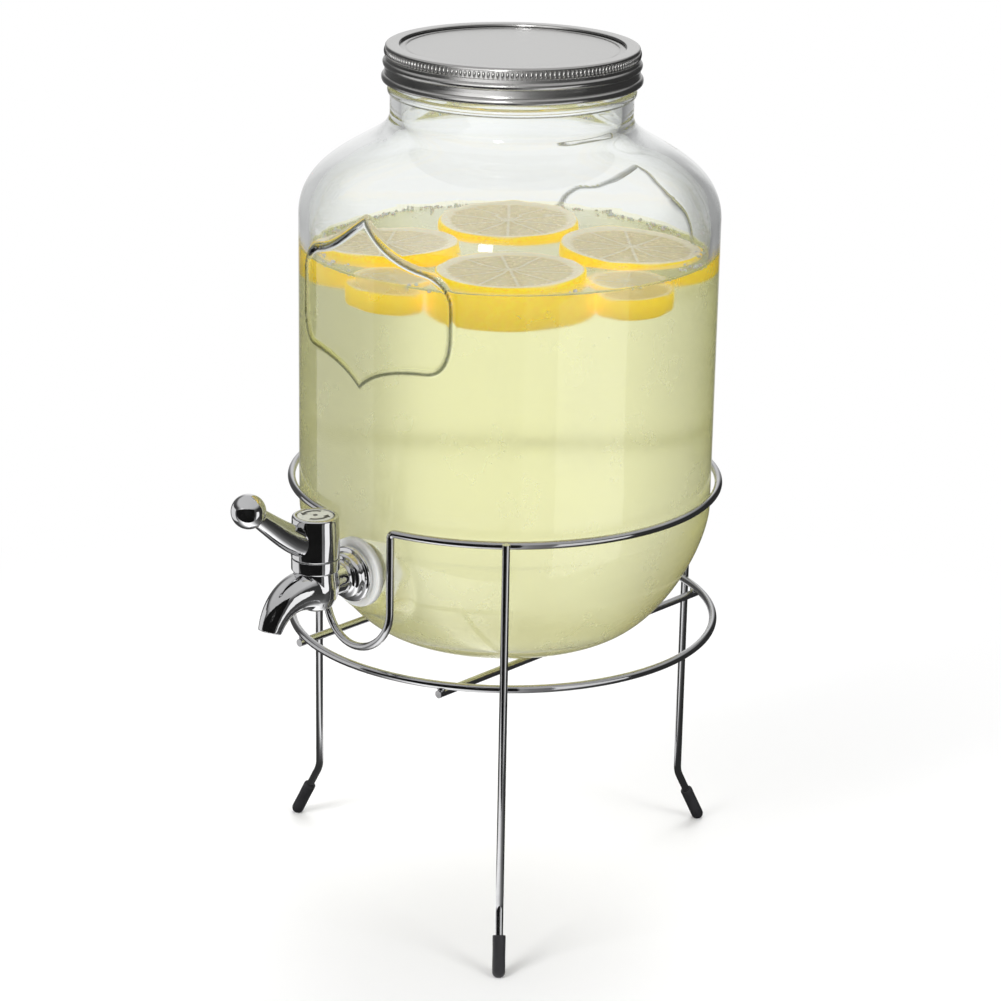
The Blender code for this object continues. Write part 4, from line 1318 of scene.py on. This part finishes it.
# %% Studio tone group
def make_studio_tone():
    group = bpy.data.node_groups.new("studio_tone", "ShaderNodeTree")
    group.interface.new_socket("Away", in_out="INPUT", socket_type="NodeSocketVector")
    for name in ("Mirror", "Through"):
        group.interface.new_socket(name, in_out="OUTPUT", socket_type="NodeSocketColor")
    away = group.nodes.new("NodeGroupInput").outputs["Away"]
    end = group.nodes.new("NodeGroupOutput")
    unit = vector_maths(group, "NORMALIZE", flattened(group, away))
    a = math.radians(VIEW_AZIMUTH)
    to_right = vector_maths(group, "DOT_PRODUCT", unit, (math.cos(a), math.sin(a), 0))
    to_camera = vector_maths(group, "DOT_PRODUCT", unit, (math.sin(a), -math.cos(a), 0))
    turn = maths(group, "ARCTAN2", to_right, to_camera)
    share = ranged(group, turn, 0.0, 1.0, -math.pi, math.pi)
    height = add_node(group, "ShaderNodeSeparateXYZ", {"Vector": away}).outputs["Z"]
    overhead = ranged(group, height, 0.0, 1.0, 0.35, 0.62, interpolation_type="SMOOTHSTEP")
    # Each stop has an angle from the camera, to the right of it if positive, and a brightness
    mirror = ((-172, 0.90), (-156, 0.12), (-100, 0.05), (-76, 0.08), (-60, 0.35), (-42, 1.50), (-18, 1.40))
    mirror += ((0, 0.80), (14, 0.28), (40, 0.10), (70, 0.04), (156, 0.04), (172, 0.90))
    through = ((-170, 0.97), (-156, 0.72), (-138, 0.50), (-112, 0.42), (-85, 0.50), (-60, 1.2))
    through += ((60, 1.2), (85, 0.50), (115, 0.36), (138, 0.25), (150, 0.42), (164, 0.50), (172, 0.97))
    for name, stops, top in (("Mirror", mirror, 0.60), ("Through", through, 1.0)):
        greys = [((angle + 180) / 360, (tone, tone, tone)) for angle, tone in stops]
        walls = colour_ramp(group, share, greys)
        set_inputs(group, end, {name: mix_colours(group, overhead, walls, (top, top, top, 1))})
    return group


STUDIO = make_studio_tone()
print("group:", STUDIO.name)


# %% Light helpers
def studio_lights(tree, kind, away):
    """Two light shaders with the rooms' brightness: for mirrors, and for views through clear pieces."""
    room = add_node(tree, "ShaderNodeGroup", {"Away": away}, node_tree=STUDIO).outputs
    return [add_node(tree, kind, {"Color": room[side], "Strength": 1.0}) for side in ("Mirror", "Through")]


def mix_shaders(tree, share, first, second):
    return add_node(tree, "ShaderNodeMixShader", {0: share, 1: first, 2: second}).outputs[0]


def by_ray(tree, plain, mirror, through):
    """Plain for camera and diffuse rays, and the rooms' own brightness for mirrors and for clear pieces.

    A ray that has gone through glass counts as glossy too, so the test for transmission has the last word.
    """
    path = tree.nodes.new("ShaderNodeLightPath").outputs
    shown = mix_shaders(tree, path["Is Glossy Ray"], plain, mirror.outputs[0])
    return mix_shaders(tree, path["Is Transmission Ray"], shown, through.outputs[0])


def panel(name, corners, material, hidden_from=()):
    """A flat piece of the stage that the named kinds of ray don't see."""
    piece = placed(name, plain_mesh(name, corners, [[0, 1, 2, 3]], material))
    for ray in hidden_from:
        setattr(piece, "visible_" + ray, False)


# %% Floor
def make_floor(side=12.0):
    material, tree, shader = blank_material("white_floor", {"Roughness": 0.9, "Specular IOR Level": 0.0})
    place = tree.nodes.new("ShaderNodeTexCoord").outputs["Object"]
    paper = noise(tree, 3.0, 2.0, vector=place).outputs["Fac"]
    tone = colour_ramp(tree, paper, ((0.3, (0.94, 0.94, 0.94)), (0.7, (0.95, 0.95, 0.95))))
    set_inputs(tree, shader, {"Base Color": tone})
    away = vector_maths(tree, "SUBTRACT", place, AXIS)
    distance = vector_maths(tree, "LENGTH", away)
    # The shadow fades out into plain white, and painted shadow dims the floor near the jar where it is seen
    # through the drink
    fade = ranged(tree, distance, 0.0, 1.0, 0.16, 0.50, interpolation_type="SMOOTHSTEP")
    white = add_node(tree, "ShaderNodeEmission", {"Strength": 1.0})
    plain = mix_shaders(tree, fade, shader.outputs[0], white.outputs[0])
    mirror, through = studio_lights(tree, "ShaderNodeEmission", away)
    set_inputs(tree, through, {"Strength": ranged(tree, distance, 0.55, 1.0, 0.14, 0.42)})
    set_inputs(tree, tree.nodes["Material Output"], {"Surface": by_ray(tree, plain, mirror, through)})
    s = side / 2
    panel("floor", [(-s, -s, 0), (s, -s, 0), (s, s, 0), (-s, s, 0)], material)


make_floor()
print("floor made")


# %% World
def make_world(fill):
    world = bpy.data.worlds.new("studio")
    scene.world = world
    world.use_nodes = True
    tree = world.node_tree
    tree.nodes.clear()
    place = tree.nodes.new("ShaderNodeTexCoord").outputs["Generated"]
    path = tree.nodes.new("ShaderNodeLightPath").outputs
    soft = add_node(tree, "ShaderNodeBackground", {"Color": (1, 1, 1, 1), "Strength": fill})
    white = add_node(tree, "ShaderNodeBackground", {"Color": (1, 1, 1, 1), "Strength": 1.0})
    plain = mix_shaders(tree, path["Is Camera Ray"], soft.outputs[0], white.outputs[0])
    shown = by_ray(tree, plain, *studio_lights(tree, "ShaderNodeBackground", place))
    add_node(tree, "ShaderNodeOutputWorld", {"Surface": shown})


make_world(fill=0.62)
print("world:", scene.world.name)

# %% [markdown]
# ## Lamps
# Three large soft lamps light the matt pieces and give the soft shadow. They are kept out of the mirrors,
# where the rooms' own walls show. One small bright panel near the camera makes the window-shaped glint on the
# jar, and three cards by the tap, one black and two white, give its chrome the streaks that cards in a photo
# studio do. Only mirrors see the panel and the cards.
#
# In the jar's neck the glass throws light to and fro many times. With Blender's usual limit on such bounces
# small black patches show there, so the limit is raised.

# %% Soft lamps
AIM_HEIGHT = 0.20


def facing_jar(azimuth, distance, height):
    """The matrix of a panel that faces the middle of the jar."""
    centre = around(distance, azimuth, height)
    aim = (Vector((AXIS.x, AXIS.y, AIM_HEIGHT)) - centre).normalized()
    return Matrix.Translation(centre) @ aim.to_track_quat("-Z", "Y").to_matrix().to_4x4()


def soft_lamp(name, azimuth, distance, height, width, tall, power):
    lamp = bpy.data.lights.new(name, "AREA")
    lamp.shape = "RECTANGLE"
    lamp.size = width
    lamp.size_y = tall
    lamp.energy = power
    obj = placed(name, lamp)
    obj.matrix_world = facing_jar(azimuth, distance, height)
    obj.visible_camera = False
    obj.visible_glossy = False
    obj.visible_transmission = False


soft_lamp("key", VIEW_AZIMUTH - 48, distance=1.5, height=1.15, width=0.7, tall=0.9, power=16)
soft_lamp("fill", VIEW_AZIMUTH + 52, distance=1.6, height=0.95, width=0.6, tall=0.9, power=9)
soft_lamp("top", VIEW_AZIMUTH + 170, distance=0.9, height=1.5, width=1.0, tall=0.8, power=10)
print("lamps: 3")

# %% Glint panel
MIRRORS_ALONE = ("camera", "diffuse", "transmission", "shadow")


def glint_panel(azimuth, distance, height, width, tall, strength):
    material = bpy.data.materials.new("glint_panel")
    material.use_nodes = True
    tree = material.node_tree
    tree.nodes.clear()
    light = add_node(tree, "ShaderNodeEmission", {"Strength": strength})
    add_node(tree, "ShaderNodeOutputMaterial", {"Surface": light.outputs[0]})
    move = facing_jar(azimuth, distance, height)
    w, t = width / 2, tall / 2
    corners = [move @ Vector(corner) for corner in ((-w, -t, 0), (w, -t, 0), (w, t, 0), (-w, t, 0))]
    panel("glint_panel", corners, material, MIRRORS_ALONE)


glint_panel(VIEW_AZIMUTH - 12, distance=1.6, height=0.75, width=0.22, tall=0.40, strength=14)
print("panels: 1")


# %% Cards by the tap
def tap_card(name, start, end, top, glow, foot=0.004):
    """An upright card by the tap. Each end is a way towards the camera and a way to its right."""
    values = {
        "Specular IOR Level": 0.0,
        "Base Color": (0.01, 0.01, 0.01, 1),
        "Emission Color": (1, 1, 1, 1),
        "Emission Strength": glow,
    }
    material, tree, shader = blank_material(name, values)
    handled(tree, shader, 20.0, 0.85, 0.95)
    a = math.radians(VIEW_AZIMUTH)
    toward = Vector((math.sin(a), -math.cos(a), 0))
    across = Vector((math.cos(a), math.sin(a), 0))
    ends = [around(VALVE, 0) + toward * near + across * side for near, side in (start, end)]
    low, high = Vector((0, 0, foot)), Vector((0, 0, top))
    panel(name, [ends[0] + low, ends[1] + low, ends[1] + high, ends[0] + high], material, MIRRORS_ALONE)


tap_card("black_card", (0.16, -0.60), (0.16, 0.11), top=0.30, glow=0.0)
tap_card("white_card_right", (0.16, 0.18), (0.16, 0.55), top=0.24, glow=1.1)
tap_card("white_card_left", (0.04, -0.22), (-0.30, -0.32), top=0.24, glow=0.8)
print("cards: 3")

# %% Colours and bounces
scene.view_settings.view_transform = "Standard"
scene.cycles.max_bounces = 24
scene.cycles.glossy_bounces = 16
scene.cycles.transmission_bounces = 24
print("bounces:", scene.cycles.max_bounces)
